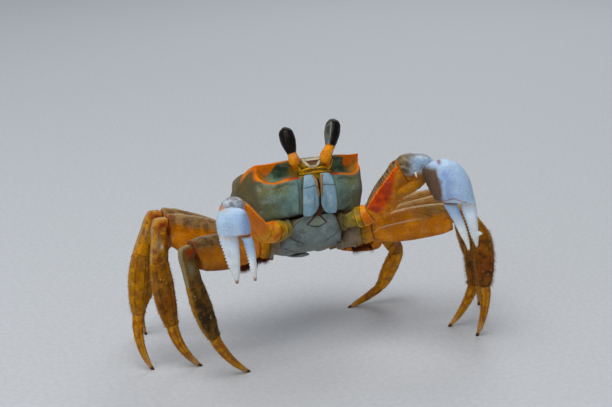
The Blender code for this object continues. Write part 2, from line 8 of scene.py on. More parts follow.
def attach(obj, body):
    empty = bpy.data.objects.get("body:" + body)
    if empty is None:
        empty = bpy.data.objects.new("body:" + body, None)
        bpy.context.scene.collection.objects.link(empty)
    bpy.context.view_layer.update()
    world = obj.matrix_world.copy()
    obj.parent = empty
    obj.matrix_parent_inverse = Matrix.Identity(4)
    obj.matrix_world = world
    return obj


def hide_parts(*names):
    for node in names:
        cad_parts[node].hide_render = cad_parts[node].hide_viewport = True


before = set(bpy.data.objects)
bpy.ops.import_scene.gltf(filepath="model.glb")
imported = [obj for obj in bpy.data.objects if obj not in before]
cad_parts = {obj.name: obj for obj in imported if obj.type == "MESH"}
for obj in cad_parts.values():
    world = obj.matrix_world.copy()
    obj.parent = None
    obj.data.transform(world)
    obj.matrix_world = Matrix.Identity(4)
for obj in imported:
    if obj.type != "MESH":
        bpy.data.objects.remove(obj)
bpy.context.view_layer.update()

# ----------------------------------------------------------------------------
# camera, lights, floor
# ----------------------------------------------------------------------------
MM = 0.001
SHIFT = np.array((-5.58, 10.69, 0.0))      # the part's origin shift, millimetres
FINE = 0.9


def make_camera():
    azimuth, down, distance, focal = math.radians(26.0), math.radians(15.9), 420.0, 1346.0
    target = np.array((2.2, -0.8, 44.0)) + SHIFT
    f = np.array((math.sin(azimuth) * math.cos(down), math.cos(azimuth) * math.cos(down), -math.sin(down)))
    r = np.array((math.cos(azimuth), -math.sin(azimuth), 0.0))
    u = np.cross(r, f)
    pos = (target - f * distance) * MM
    data = bpy.data.cameras.new("camera")
    data.sensor_width = 36.0
    data.lens = focal / 612.0 * 36.0
    data.clip_start = 0.01
    ob = bpy.data.objects.new("camera", data)
    ob.matrix_world = Matrix.Translation(Vector(pos)) @ Matrix((r, u, -f)).transposed().to_4x4()
    bpy.context.scene.collection.objects.link(ob)
    bpy.context.scene.camera = ob


def area_light(name, place, aim, size, watts, colour):
    data = bpy.data.lights.new(name, "AREA")
    data.shape = "DISK"
    data.size = size
    data.energy = watts
    data.color = colour
    ob = bpy.data.objects.new(name, data)
    ob.location = place
    ob.rotation_euler = (Vector(aim) - Vector(place)).to_track_quat("-Z", "Y").to_euler()
    bpy.context.scene.collection.objects.link(ob)


def make_studio():
    scene = bpy.context.scene
    scene.view_settings.view_transform = "Standard"
    area_light("key", (-0.35, -0.25, 0.95), (0.0, 0.0, 0.03), 0.75, 7.0, (1.0, 0.985, 0.96))
    area_light("sky_left", (-0.9, -0.5, 0.45), (0.0, 0.0, 0.03), 0.8, 1.9, (0.88, 0.94, 1.0))
    area_light("rim", (0.55, 0.7, 0.7), (0.0, 0.0, 0.03), 0.6, 2.6, (0.95, 0.98, 1.0))
    world = scene.world or bpy.data.worlds.new("studio")
    scene.world = world
    world.use_nodes = True
    back = world.node_tree.nodes.get("Background") or world.node_tree.nodes.new("ShaderNodeBackground")
    back.inputs[0].default_value = (0.86, 0.90, 0.95, 1.0)
    back.inputs[1].default_value = 0.33

    size = 4.0
    mesh = bpy.data.meshes.new("floor")
    mesh.from_pydata([(-size, -size, 0), (size, -size, 0), (size, size, 0), (-size, size, 0)], [], [(0, 1, 2, 3)])
    floor = bpy.data.objects.new("floor", mesh)
    scene.collection.objects.link(floor)
    mat = bpy.data.materials.new("floor")
    mat.use_nodes = True
    nt = mat.node_tree
    bsdf = nt.nodes["Principled BSDF"]
    bsdf.inputs["Roughness"].default_value = 0.85
    coord = nt.nodes.new("ShaderNodeTexCoord")
    grain = nt.nodes.new("ShaderNodeTexNoise")
    grain.inputs["Scale"].default_value = 600.0
    grain.inputs["Detail"].default_value = 3.0
    ramp = nt.nodes.new("ShaderNodeValToRGB")
    ramp.color_ramp.elements[0].position = 0.3
    ramp.color_ramp.elements[0].color = (0.50, 0.52, 0.55, 1.0)
    ramp.color_ramp.elements[1].position = 0.7
    ramp.color_ramp.elements[1].color = (0.56, 0.58, 0.61, 1.0)
    nt.links.new(coord.outputs["Object"], grain.inputs["Vector"])
    nt.links.new(grain.outputs["Fac"], ramp.inputs["Fac"])
    nt.links.new(ramp.outputs["Color"], bsdf.inputs["Base Color"])
    mesh.materials.append(mat)


make_camera()
make_studio()


# ----------------------------------------------------------------------------
# numbers: repeatable noise, easing, colour
# ----------------------------------------------------------------------------
def lattice(i, seed):
    """Repeatable value from 0 to 1 for each whole-number lattice point."""
    i = i.astype(np.int64)
    h = (i[..., 0] * 73856093) ^ (i[..., 1] * 19349663) ^ (i[..., 2] * 83492791) ^ np.int64(seed * 97531 + 17)
    h = h & 0xffffffff
    h = ((h ^ (h >> 15)) * 2246822519) & 0xffffffff
    h = ((h ^ (h >> 13)) * 3266489917) & 0xffffffff
    h = h ^ (h >> 16)
    return h.astype(float) / 4294967295.0


def noise(p, size, seed=0):
    q = np.asarray(p, float) / size
    b = np.floor(q)
    f = q - b
    f = f * f * (3 - 2 * f)
    out = 0.0
    for dx in (0, 1):
        wx = f[..., 0] if dx else 1 - f[..., 0]
        for dy in (0, 1):
            wy = f[..., 1] if dy else 1 - f[..., 1]
            for dz in (0, 1):
                wz = f[..., 2] if dz else 1 - f[..., 2]
                out = out + wx * wy * wz * lattice(b + np.array((dx, dy, dz)), seed)
    return out


def fbm(p, size, octaves=3, seed=0):
    out, amp, total = 0.0, 1.0, 0.0
    for k in range(octaves):
        out = out + amp * noise(p, size * 0.5 ** k, seed + 13 * k)
        total += amp
        amp *= 0.5
    return out / total


def cells(p, size, seed=0):
    """Distance to the nearest of the scattered cell centres, over size, and that cell's own value."""
    q = np.asarray(p, float) / size
    b = np.floor(q)
    best = np.full(q.shape[:-1], 9.0)
    own = np.zeros(q.shape[:-1])
    for dx in (-1, 0, 1):
        for dy in (-1, 0, 1):
            for dz in (-1, 0, 1):
                c = b + np.array((dx, dy, dz))
                at = c + 0.15 + 0.7 * np.stack([lattice(c, seed + k) for k in (1, 2, 3)], -1)
                d = np.sqrt(((q - at) ** 2).sum(-1))
                near = d < best
                best = np.where(near, d, best)
                own = np.where(near, lattice(c, seed + 7), own)
    return best, own


def granules(p, size, seed=0, keep=1.0):
    """Rounded grains, 0 to 1 high."""
    d, own = cells(p, size, seed)
    return np.clip(1 - (d / (0.30 + 0.16 * own)) ** 2, 0, 1) ** 0.7 * (own < keep)


def ease(a, b, x):
    t = np.clip((np.asarray(x, float) - a) / (b - a), 0, 1)
    return t * t * (3 - 2 * t)


def ridge(x, at, width):
    return np.exp(-((np.asarray(x, float) - at) / width) ** 2)


def rgb(r, g, b):
    """Display colour 0..255 to scene-linear."""
    c = np.array((r, g, b), float) / 255.0
    return np.where(c <= 0.04045, c / 12.92, ((c + 0.055) / 1.055) ** 2.4)


def mix(a, b, t):
    t = np.asarray(t, float)[..., None]
    return a * (1 - t) + b * t


def unit(v):
    v = np.asarray(v, float)
    return v / np.linalg.norm(v)


def tween(table, x):
    """Smooth value from a short table of (station, value or values)."""
    xs = [t[0] for t in table]
    vals = [np.atleast_1d(np.asarray(t[1], float)) for t in table]
    if x <= xs[0]:
        out = vals[0]
    elif x >= xs[-1]:
        out = vals[-1]
    else:
        i = next(k for k in range(len(xs) - 1) if xs[k] <= x <= xs[k + 1])
        h = xs[i + 1] - xs[i]
        f = (x - xs[i]) / h

        def slope(k):
            if k == 0 or k == len(xs) - 1:
                return np.zeros_like(vals[0])
            a = (vals[k] - vals[k - 1]) / (xs[k] - xs[k - 1])
            b = (vals[k + 1] - vals[k]) / (xs[k + 1] - xs[k])
            return np.where(a * b > 0, 2 * a * b / (a + b + 1e-12 * np.sign(a + b + 1e-30)), 0.0)
        m0, m1 = slope(i) * h, slope(i + 1) * h
        out = ((2 * f**3 - 3 * f**2 + 1) * vals[i] + (f**3 - 2 * f**2 + f) * m0
               + (-2 * f**3 + 3 * f**2) * vals[i + 1] + (f**3 - f**2) * m1)
    return float(out[0]) if out.size == 1 else out


# colours of the live animal
ORANGE = rgb(240, 132, 2)
YELLOW = rgb(222, 142, 2)
RED = rgb(206, 66, 4)
AMBER = rgb(226, 138, 2)
OCHRE = rgb(190, 128, 10)
OLIVE = rgb(132, 108, 58)
SAND = rgb(150, 134, 104)
BROWN = rgb(122, 62, 6)
UMBER = rgb(74, 38, 8)
RUST = rgb(128, 44, 8)
PALE = rgb(226, 218, 196)
WHITE = rgb(232, 238, 242)
ICE = rgb(168, 196, 228)
SLATE = rgb(124, 138, 134)
TEAL = rgb(100, 128, 104)
MOSS = rgb(104, 124, 108)
BLUE = rgb(104, 140, 142)
MOUTH = rgb(126, 160, 178)
EARTH = rgb(112, 96, 70)
INK = rgb(9, 5, 4)


# ----------------------------------------------------------------------------
# materials: colour from the vertex paint, broken up by procedural noise
# ----------------------------------------------------------------------------
def shell_material(name, rough=(0.38, 0.58), speckle=0.22, speckle_size=0.35, pits=0.35, pit_size=0.22,
                   bump=0.25, sheen=0.35, glow=0.0):
    mat = bpy.data.materials.new(name)
    mat.use_nodes = True
    nt = mat.node_tree
    bsdf = nt.nodes["Principled BSDF"]
    coord = nt.nodes.new("ShaderNodeTexCoord")
    paint = nt.nodes.new("ShaderNodeAttribute")
    paint.attribute_name = "tint"

    def tex(kind, size_mm, detail=3.0):
        t = nt.nodes.new(kind)
        t.inputs["Scale"].default_value = 1.0 / (size_mm * MM)
        if "Detail" in t.inputs and kind == "ShaderNodeTexNoise":
            t.inputs["Detail"].default_value = detail
        nt.links.new(coord.outputs["Object"], t.inputs["Vector"])
        return t

    fine = tex("ShaderNodeTexNoise", speckle_size, 4.0)
    wide = tex("ShaderNodeTexNoise", 2.4, 3.0)
    pit = tex("ShaderNodeTexVoronoi", pit_size)

    def ramp(source, lo, hi, a, b):
        r = nt.nodes.new("ShaderNodeMapRange")
        r.inputs["From Min"].default_value = lo
        r.inputs["From Max"].default_value = hi
        r.inputs["To Min"].default_value = a
        r.inputs["To Max"].default_value = b
        nt.links.new(source, r.inputs["Value"])
        return r.outputs["Result"]

    tone = nt.nodes.new("ShaderNodeHueSaturation")
    vary = nt.nodes.new("ShaderNodeMath")
    vary.operation = "MULTIPLY"
    nt.links.new(ramp(fine.outputs["Fac"], 0.3, 0.7, 1.0 - speckle, 1.0 + speckle), vary.inputs[0])
    nt.links.new(ramp(wide.outputs["Fac"], 0.3, 0.7, 0.92, 1.08), vary.inputs[1])
    nt.links.new(vary.outputs[0], tone.inputs["Value"])
    nt.links.new(ramp(wide.outputs["Fac"], 0.3, 0.7, 0.94, 1.06), tone.inputs["Saturation"])
    nt.links.new(paint.outputs["Color"], tone.inputs["Color"])
    nt.links.new(tone.outputs["Color"], bsdf.inputs["Base Color"])
    nt.links.new(ramp(fine.outputs["Fac"], 0.3, 0.7, rough[0], rough[1]), bsdf.inputs["Roughness"])
    bsdf.inputs["Specular IOR Level"].default_value = sheen
    if glow:
        bsdf.inputs["Subsurface Weight"].default_value = glow
        bsdf.inputs["Subsurface Radius"].default_value = (1.0, 0.45, 0.2)
        bsdf.inputs["Subsurface Scale"].default_value = 0.0012
    height = nt.nodes.new("ShaderNodeMath")
    height.operation = "ADD"
    nt.links.new(ramp(pit.outputs["Distance"], 0.0, 0.6, 0.0, pits), height.inputs[0])
    nt.links.new(ramp(fine.outputs["Fac"], 0.2, 0.8, 0.0, 1.0), height.inputs[1])
    relief = nt.nodes.new("ShaderNodeBump")
    relief.inputs["Strength"].default_value = bump
    relief.inputs["Distance"].default_value = 0.00008
    nt.links.new(height.outputs[0], relief.inputs["Height"])
    nt.links.new(relief.outputs["Normal"], bsdf.inputs["Normal"])
    return mat


MATS = {
    "shell": shell_material("shell", (0.45, 0.65), 0.24, 0.36, 0.5, 0.30, 0.40, 0.12),
    "sternum": shell_material("sternum", (0.40, 0.60), 0.20, 0.50, 0.3, 0.35, 0.28, 0.14),
    "mouth": shell_material("mouth", (0.34, 0.52), 0.12, 0.40, 0.2, 0.30, 0.20, 0.18),
    "stalk": shell_material("stalk", (0.34, 0.50), 0.14, 0.35, 0.2, 0.25, 0.25, 0.14, 0.05),
    "merus": shell_material("merus", (0.38, 0.58), 0.22, 0.42, 0.4, 0.28, 0.35, 0.12, 0.05),
    "distal": shell_material("distal", (0.42, 0.64), 0.34, 0.32, 0.5, 0.22, 0.45, 0.12, 0.04),
    "claw": shell_material("claw", (0.36, 0.54), 0.12, 0.35, 0.4, 0.22, 0.35, 0.20, 0.04),
    "arm": shell_material("arm", (0.36, 0.54), 0.18, 0.38, 0.4, 0.25, 0.32, 0.12, 0.05),
    "hair": shell_material("hair", (0.55, 0.75), 0.25, 0.60, 0.1, 0.40, 0.1, 0.08),
}


def cornea_material():
    mat = shell_material("cornea", (0.24, 0.36), 0.25, 0.30, 1.0, 0.10, 0.25, 0.12)
    mat.node_tree.nodes["Principled BSDF"].inputs["Coat Weight"].default_value = 0.06
    mat.node_tree.nodes["Principled BSDF"].inputs["Coat Roughness"].default_value = 0.12
    return mat


MATS["cornea"] = cornea_material()


# ----------------------------------------------------------------------------
# pieces: grids of points gathered into one mesh
# ----------------------------------------------------------------------------
class Piece:
    def __init__(self, name, kind):
        self.name, self.kind = name, kind
        self.points, self.faces, self.tints, self.uvs, self.count = [], [], [], [], 0

    def add(self, points, faces, tint, uv=None):
        points = np.asarray(points, float).reshape(-1, 3)
        tint = np.broadcast_to(np.asarray(tint, float), points.shape)
        self.points.append(points)
        self.tints.append(tint)
        if uv is not None:
            self.uvs.append(np.asarray(uv, float).reshape(-1, 2))
        faces = np.asarray(faces, np.int64) + self.count
        self.faces.append(faces)
        self.count += len(points)

    def tube(self, grid, tint, close=(True, True)):
        """Closed surface through rings of points, each end drawn in to a point."""
        grid = np.asarray(grid, float)
        tint = np.broadcast_to(np.asarray(tint, float), grid.shape)
        for end, flag in ((0, close[0]), (-1, close[1])):
            if flag:
                ring, col = grid[end], tint[end]
                mid, mcol = ring.mean(0), col.mean(0)
                extra = [mid + (ring - mid) * k for k in (0.66, 0.33)]
                ecol = [col * k + mcol * (1 - k) for k in (0.66, 0.33)]
                if end == 0:
                    grid = np.concatenate([np.array(extra[::-1]), grid])
                    tint = np.concatenate([np.array(ecol[::-1]), tint])
                else:
                    grid = np.concatenate([grid, np.array(extra)])
                    tint = np.concatenate([tint, np.array(ecol)])
        r, c = grid.shape[:2]
        i = np.arange(r * c).reshape(r, c)
        a, b = i[:-1], i[1:]
        quads = np.stack([a, np.roll(a, -1, 1), np.roll(b, -1, 1), b], -1).reshape(-1, 4)
        pts = grid.reshape(-1, 3)
        cols = tint.reshape(-1, 3)
        faces = [quads]
        for row, flip in ((i[0], True), (i[-1], False)):
            mid = len(pts)
            pts = np.concatenate([pts, pts[row].mean(0)[None]])
            cols = np.concatenate([cols, cols[row].mean(0)[None]])
            nxt = np.roll(row, -1)
            fan = np.stack([nxt, row, np.full_like(row, mid), np.full_like(row, -1)], -1) if flip else \
                np.stack([row, nxt, np.full_like(row, mid), np.full_like(row, -1)], -1)
            faces.append(fan)
        # outward faces: the signed volume decides
        tri = np.concatenate([quads[:, [0, 1, 2]], quads[:, [0, 2, 3]], faces[1][:, :3], faces[2][:, :3]])
        p = pts - pts.mean(0)
        volume = np.einsum("ij,ij->i", p[tri[:, 0]], np.cross(p[tri[:, 1]], p[tri[:, 2]])).sum()
        out = np.concatenate(faces)
        if volume < 0:
            quad = out[:, 3] >= 0
            out[quad] = out[quad][:, ::-1]
            out[~quad] = out[~quad][:, [1, 0, 2, 3]]
        base = self.count
        self.points.append(pts)
        self.tints.append(cols)
        out = np.where(out >= 0, out + base, -1)
        self.faces.append(out)
        self.count += len(pts)

    def finish(self, replaces=(), smooth=True):
        pts = np.concatenate(self.points)
        faces = []
        for block in self.faces:
            for f in block.tolist():
                faces.append(f[:3] if len(f) == 4 and f[3] < 0 else f)
        mesh = bpy.data.meshes.new(self.name)
        mesh.from_pydata(((pts + SHIFT) * MM).tolist(), [], faces)
        attr = mesh.attributes.new("tint", "FLOAT_COLOR", "POINT")
        cols = np.clip(np.concatenate(self.tints), 0, 1)
        attr.data.foreach_set("color", np.concatenate([cols, np.ones((len(cols), 1))], 1).astype(np.float32).ravel())
        if smooth:
            mesh.shade_smooth()
        if self.uvs:
            uv = np.concatenate(self.uvs)
            layer = mesh.uv_layers.new(name="OFBake")
            loops = np.empty(len(mesh.loops), np.int32)
            mesh.loops.foreach_get("vertex_index", loops)
            layer.data.foreach_set("uv", uv[loops].astype(np.float32).ravel())
        mesh.materials.append(MATS[self.kind])
        ob = bpy.data.objects.new(self.name, mesh)
        bpy.context.scene.collection.objects.link(ob)
        if replaces:
            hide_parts(*replaces)
        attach(ob, "root")
        return ob


def normals(grid, closed=True):
    du = (np.roll(grid, -1, 1) - np.roll(grid, 1, 1)) if closed else np.gradient(grid, axis=1)
    dv = np.gradient(grid, axis=0)
    n = np.cross(du, dv)
    n /= np.linalg.norm(n, axis=-1, keepdims=True) + 1e-9
    out = grid - grid.mean(1, keepdims=True)
    if (out * n).sum(-1).mean() < 0:
        n = -n
    return n


def steps(length, size, least=6):
    return max(least, int(round(length / size * FINE)))


def hair_tufts(piece, roots, ways, lengths, thick, tint, uv, droop=0.25, sides=3, parts=3, seed=1):
    """Tapered solid bristles, joined into one mesh."""
    roots, ways, lengths = np.asarray(roots, float), np.asarray(ways, float), np.asarray(lengths, float)
    n = len(roots)
    ways = ways / (np.linalg.norm(ways, axis=1, keepdims=True) + 1e-9)
    helper = np.where(np.abs(ways[:, 2:3]) < 0.9, np.array((0.0, 0, 1.0)), np.array((1.0, 0, 0)))
    a = np.cross(ways, helper)
    a /= np.linalg.norm(a, axis=1, keepdims=True)
    b = np.cross(ways, a)
    turn = 2 * math.pi * lattice(np.stack([np.arange(n), np.zeros(n), np.zeros(n)], -1), seed)
    thick = np.broadcast_to(np.asarray(thick, float), (n,))
    verts = []
    for k in range(parts + 1):
        f = k / parts
        centre = roots + ways * (lengths * (f * 1.0 - 0.06))[:, None] + np.array((0, 0, -1.0)) * (
            lengths * droop * f * f)[:, None]
        r = thick * (1 - 0.93 * f)
        for s in range(sides):
            ang = turn + 2 * math.pi * s / sides
            verts.append(centre + a * (r * np.cos(ang))[:, None] + b * (r * np.sin(ang))[:, None])
    per = (parts + 1) * sides
    pts = np.stack(verts, 1).reshape(-1, 3)
    base = np.arange(n)[:, None] * per
    faces = []
    for k in range(parts):
        for s in range(sides):
            s2 = (s + 1) % sides
            faces.append(np.stack([base[:, 0] + k * sides + s, base[:, 0] + k * sides + s2,
                                   base[:, 0] + (k + 1) * sides + s2, base[:, 0] + (k + 1) * sides + s], -1))
    ends = []
    for start, flip in ((0, True), (parts * sides, False)):
        q = [base[:, 0] + start + s for s in range(3)]
        q = q[::-1] if flip else q
        ends.append(np.stack([*q, np.full(n, -1)], -1))
    f4 = np.concatenate(faces)
    tint = np.asarray(tint, float)
    tint = np.repeat(np.broadcast_to(tint, (n, 3)) if tint.ndim == 1 else tint, per, 0)
    fade = np.tile(np.repeat(np.linspace(0.85, 1.2, parts + 1), sides), n)[:, None]
    uvs = np.repeat(np.asarray(uv, float), per, 0)
    spread = np.tile(np.stack([np.tile(np.cos(2 * np.pi * np.arange(sides) / sides), parts + 1),
                               np.repeat(np.linspace(-1, 1, parts + 1), sides)], -1) * 0.0015, (n, 1))
    offset = piece.count
    piece.points.append(pts)
    piece.tints.append(tint * fade)
    piece.uvs.append(uvs + spread)
    piece.faces.append(np.concatenate([f4 + offset] + [np.where(e >= 0, e + offset, -1) for e in ends]))
    piece.count += len(pts)


# ----------------------------------------------------------------------------
# body frame and limb routes, as in the part
# ----------------------------------------------------------------------------
PITCH = math.radians(27.0)
BODY_AT = np.array((-1.0, 0.4, 46.2))
BODY_ROT = np.array([[1, 0, 0], [0, math.cos(PITCH), math.sin(PITCH)], [0, -math.sin(PITCH), math.cos(PITCH)]])


def body(p):
    return np.asarray(p, float) @ BODY_ROT.T + BODY_AT


def filleted(points, trims, step=0.5):
    pts = [np.asarray(p, float) for p in points]
    out = [pts[0]]
    for i in range(1, len(pts) - 1):
        d0, d1 = unit(pts[i] - pts[i - 1]), unit(pts[i + 1] - pts[i])
        turn = math.acos(max(-1.0, min(1.0, float(d0 @ d1))))
        t = trims[i - 1]
        if turn < 0.02:
            out.append(pts[i])
            continue
        r = t / math.tan(turn / 2)
        start = pts[i] - d0 * t
        side = unit(d1 - d0 * float(d0 @ d1))
        centre = start + side * r
        m = max(2, int(turn / 0.12))
        for k in range(m + 1):
            a = turn * k / m
            out.append(centre - side * (r * math.cos(a)) + d0 * (r * math.sin(a)))
    out.append(pts[-1])
    out = np.array(out)
    arc = np.concatenate([[0], np.cumsum(np.linalg.norm(np.diff(out, axis=0), axis=1))])
    s = np.linspace(0, arc[-1], max(8, int(arc[-1] / step)))
    return s, np.stack([np.interp(s, arc, out[:, k]) for k in range(3)], 1)


class Route:
    def __init__(self, points, trims, normal):
        self.s, self.p = filleted(points, trims)
        self.length = self.s[-1]
        self.normals = normal if isinstance(normal, list) else [(0.0, normal)]

    def bow(self, s0, s1, sag, outward):
        moved = self.p.copy()
        for i, s in enumerate(self.s):
            if s0 < s < s1:
                f = (s - s0) / (s1 - s0)
                h = self.frame(s)[2]
                h = h if float(h @ outward) > 0 else -h
                moved[i] = self.p[i] + h * (sag * 4 * f * (1 - f) * abs(float(h @ outward)))
        self.p = moved

    def at(self, s):
        return np.array([np.interp(s, self.s, self.p[:, k]) for k in range(3)])

    def frame(self, s, e=0.8):
        t = unit(self.at(min(s + e, self.length)) - self.at(max(s - e, 0)))
        turn = np.array([np.interp(s / self.length, [q[0] for q in self.normals],
                                   [unit(q[1])[k] for q in self.normals]) for k in range(3)])
        n = unit(turn - t * float(t @ turn))
        return t, n, np.cross(n, t)


def loft(route, s0, s1, profile, size, power=2.3, lips=(0.7, 0.7), lip=0.16, flat_tip=False, wall=None,
         keel=0.0, slant=None, bend=None):
    """Rings along a limb.  Returns the grid, the fraction along it, and how far each point faces up
    (or outward), and along the section's other axis."""
    rings = steps(s1 - s0, size, 10)
    half = max(q[1] for q in profile)
    around = steps(6.0 * half, size, 24)
    up = math.copysign(1.0, float(route.frame(0.5)[2][2]))
    ang = 2 * math.pi * (np.arange(around) + 0.5) / around
    c, s = np.cos(ang), np.sin(ang)
    k = (np.abs(c) ** power + np.abs(s) ** power) ** (-1.0 / power)
    grid, frac, tang = [], [], []
    # extra rings near the two ends carry their rounded lips
    fs = np.linspace(0, 1, rings)
    total = s1 - s0
    extra = [v / total for v in (0.05, 0.12, 0.22, 0.4)]
    fs = np.unique(np.round(np.concatenate([fs, extra, [1 - v for v in extra]]), 6))
    for f in fs:
        st = s0 + total * f
        t, nn, h = route.frame(st)
        row = tween([(q[0], (*q[1:], 0.0)[:3]) for q in profile], f)
        hh, tt, sag = row
        centre = route.at(st) - h * (sag * up)
        for d, e in ((f * total, lips[0]), ((1 - f) * total, lips[1])):
            if e > 0 and d < e:
                g = 1 - lip * (1 - math.sqrt(max(0.0, 1 - (1 - d / e) ** 2)))
                hh, tt = hh * g, tt * g
        if flat_tip:
            w = float(ease(0.965, 1.0, f))
            flat_n = unit(np.array([nn[0], nn[1], 0.0]))
            flat_h = np.array([-flat_n[1], flat_n[0], 0.0])
            if float(np.cross(flat_n, t) @ flat_h) < 0:
                flat_h = -flat_h
            nn = unit(nn * (1 - w) + flat_n * w)
            h = unit(h * (1 - w) + flat_h * w)
            if f >= 0.9999:
                centre = np.array([centre[0], centre[1], 0.0])
        sharp = 1 + keel * np.abs(c) ** 6
        ring = centre + np.outer(k * c * hh * sharp, h) + np.outer(k * s * tt, nn)
        if flat_tip:
            ring[:, 2] = np.maximum(ring[:, 2], 0.0)
        if bend is not None:
            ring = bend.shape(ring, route.at(st), h * up, st)
        if slant is not None and f > 0:
            ring = ring - np.outer(f * slant.cut_back(((ring - route.at(st)) @ h) * up), t)
        if wall is not None:
            w = float(ease(0.12, 0.0, f))
            if w > 0:
                flat = ring - np.outer((ring[:, 0] - BODY_AT[0] - wall) / t[0], t)
                ring = ring * (1 - w) + flat * w if f > 0 else flat
        grid.append(ring)
        frac.append(np.full(around, f))
        tang.append(t)
    grid = np.array(grid)
    frac = np.array(frac)
    upness = np.broadcast_to(c * up, frac.shape)
    side = np.broadcast_to(s, frac.shape)
    return grid, frac, upness, side, np.array(tang)


def membrane(piece, route, s, reach, hh, tt, tint, power=2.2):
    """The soft folded skin of a joint, inside the gap between two segments."""
    rows = []
    for k in range(13):
        f = k / 12
        st = s + (f - 0.5) * 2 * reach
        t, nn, h = route.frame(min(max(st, 0.0), route.length))
        fold = 1 + 0.05 * math.cos(f * 4 * math.pi)
        a = 2 * np.pi * np.arange(28) / 28
        c, sn = np.cos(a), np.sin(a)
        kk = (np.abs(c) ** power + np.abs(sn) ** power) ** (-1.0 / power)
        rows.append(route.at(st) + np.outer(kk * c * hh * fold, h) + np.outer(kk * sn * tt * fold, nn))
    grid = np.array(rows)
    shade = 0.8 + 0.4 * noise(grid, 0.7, 5)
    piece.tube(grid, mix(tint, tint, np.zeros(grid.shape[:2])) * shade[..., None])


# ----------------------------------------------------------------------------
# carapace
# ----------------------------------------------------------------------------
HALF_WIDTH, TOOTH_X, REAR_Y, FLANK_SQUEEZE = 21.0, 17.3, 18.4, 0.72
FLOOR_OF_SHELL, STERNUM_DEPTH, STERNUM_HALF, GAP = -8.0, -17.7, 11.3, 0.30


def shell_section(x):
    s = abs(x)
    side = min(1.0, max(0.0, (s - 17.0) / 4.0))
    top = tween([(0, 10.9), (8, 10.5), (14, 9.6), (18, 8.4), (20, 6.6), (21, 5.0)], s)
    front_y = tween([(0, -18.6), (2.6, -18.5), (4.4, -17.2), (9, -16.9), (13, -15.6),
                     (17.3, -14.0), (18.3, -10.5), (20, -6.5), (21, -4.5)], s)
    front_z = tween([(0, 7.3), (2.6, 7.4), (4.4, 7.9), (9, 8.1), (13, 8.1), (17.3, 8.3),
                     (18.3, 7.9), (20, 6.3), (21, 4.4)], s)
    low_y = tween([(0, -17.2), (4.2, -17.3), (5.6, -17.2), (9, -16.6), (13, -15.8),
                   (17.3, -13.4), (18.3, -10.3), (20, -6.4), (21, -4.3)], s)
    low_z = tween([(0, 3.4), (4.2, 3.3), (5.6, 3.0), (9, 2.8), (13, 2.4), (15.5, 3.2),
                   (17.3, 4.9), (18.3, 5.0), (20, 3.6), (21, 2.6)], s)
    pit = tween([(0, 0.5), (3.4, 0.6), (4.6, 3.2), (13, 3.4), (15.5, 2.2), (17.3, 0.5),
                 (18.3, 0.15), (21, 0.1)], s)
    cheek_y = tween([(0, -16.1), (5.9, -16.1), (6.6, -16.9), (9, -16.2), (13, -15.2),
                     (17.3, -12.4), (18.3, -9.8), (20, -5.6), (21, -3.6)], s)
    cheek_z = tween([(0, -1.6), (6, -1.8), (13, -2.2), (17.3, -1.8), (20, -0.6), (21, 0.6)], s)
    hem_y = tween([(0, -13.4), (5.9, -13.4), (6.6, -13.8), (8.4, -12.5), (13.8, -10.4),
                   (16.5, -8.4), (18.3, -6.2), (20, -3.5), (21, -2.0)], s)
    hem_z = tween([(0, -7.9), (6.2, -7.4), (8.4, -7.6), (13.8, -7.7), (16.5, -7.6),
                   (18.3, -6.0), (20, -3.0), (21, -1.2)], s)
    rear_y = tween([(0, REAR_Y), (9, REAR_Y - 0.2), (12, 17.3), (15, 14.6), (18.3, 9.8), (20, 5.6),
                    (21, 2.8)], s)
    rear_z = tween([(0, 2.8), (9, 2.6), (12, 2.4), (18.3, 3.0), (21, 2.4)], s)
    foot_y = rear_y - tween([(0, 2.6), (12, 2.8), (18.3, 1.8), (21, 0.8)], s)
    foot_z = tween([(0, -7.6), (12, -7.7), (16.5, -7.4), (18.3, -5.2), (20, -2.6), (21, -0.9)], s)
    return [
        (rear_y, rear_z), (rear_y - 4.4, rear_z + 0.52 * (top - rear_z)),
        (rear_y * 0.36, top - 0.7 * (1 - side)), (0.6, top), (front_y * 0.45, top - 0.55),
        (front_y * 0.78, front_z + 0.42 * (top - front_z)),
        (front_y, front_z),
        (front_y + 0.45 * pit + 0.15, front_z - 0.75),
        (front_y + pit, 0.62 * front_z + 0.38 * low_z),
        (low_y + pit, 0.25 * front_z + 0.75 * low_z),
        (low_y + 0.40 * pit + 0.15, low_z + 0.35),
        (low_y, low_z - 0.25),
        (0.5 * (low_y + cheek_y) - 0.05, 0.5 * (low_z + cheek_z)),
        (cheek_y, cheek_z), (0.45 * cheek_y + 0.55 * hem_y - 0.45, 0.45 * cheek_z + 0.55 * hem_z),
        (hem_y, hem_z),
        (hem_y + 1.3, hem_z - 0.12), (0.6 * hem_y + 0.4 * foot_y, 0.5 * (hem_z + foot_z) - 0.1),
        (0.2 * hem_y + 0.8 * foot_y, foot_z - 0.05), (foot_y, foot_z),
        (0.5 * (foot_y + rear_y) + 0.5, 0.45 * foot_z + 0.55 * rear_z - 0.7),
    ]


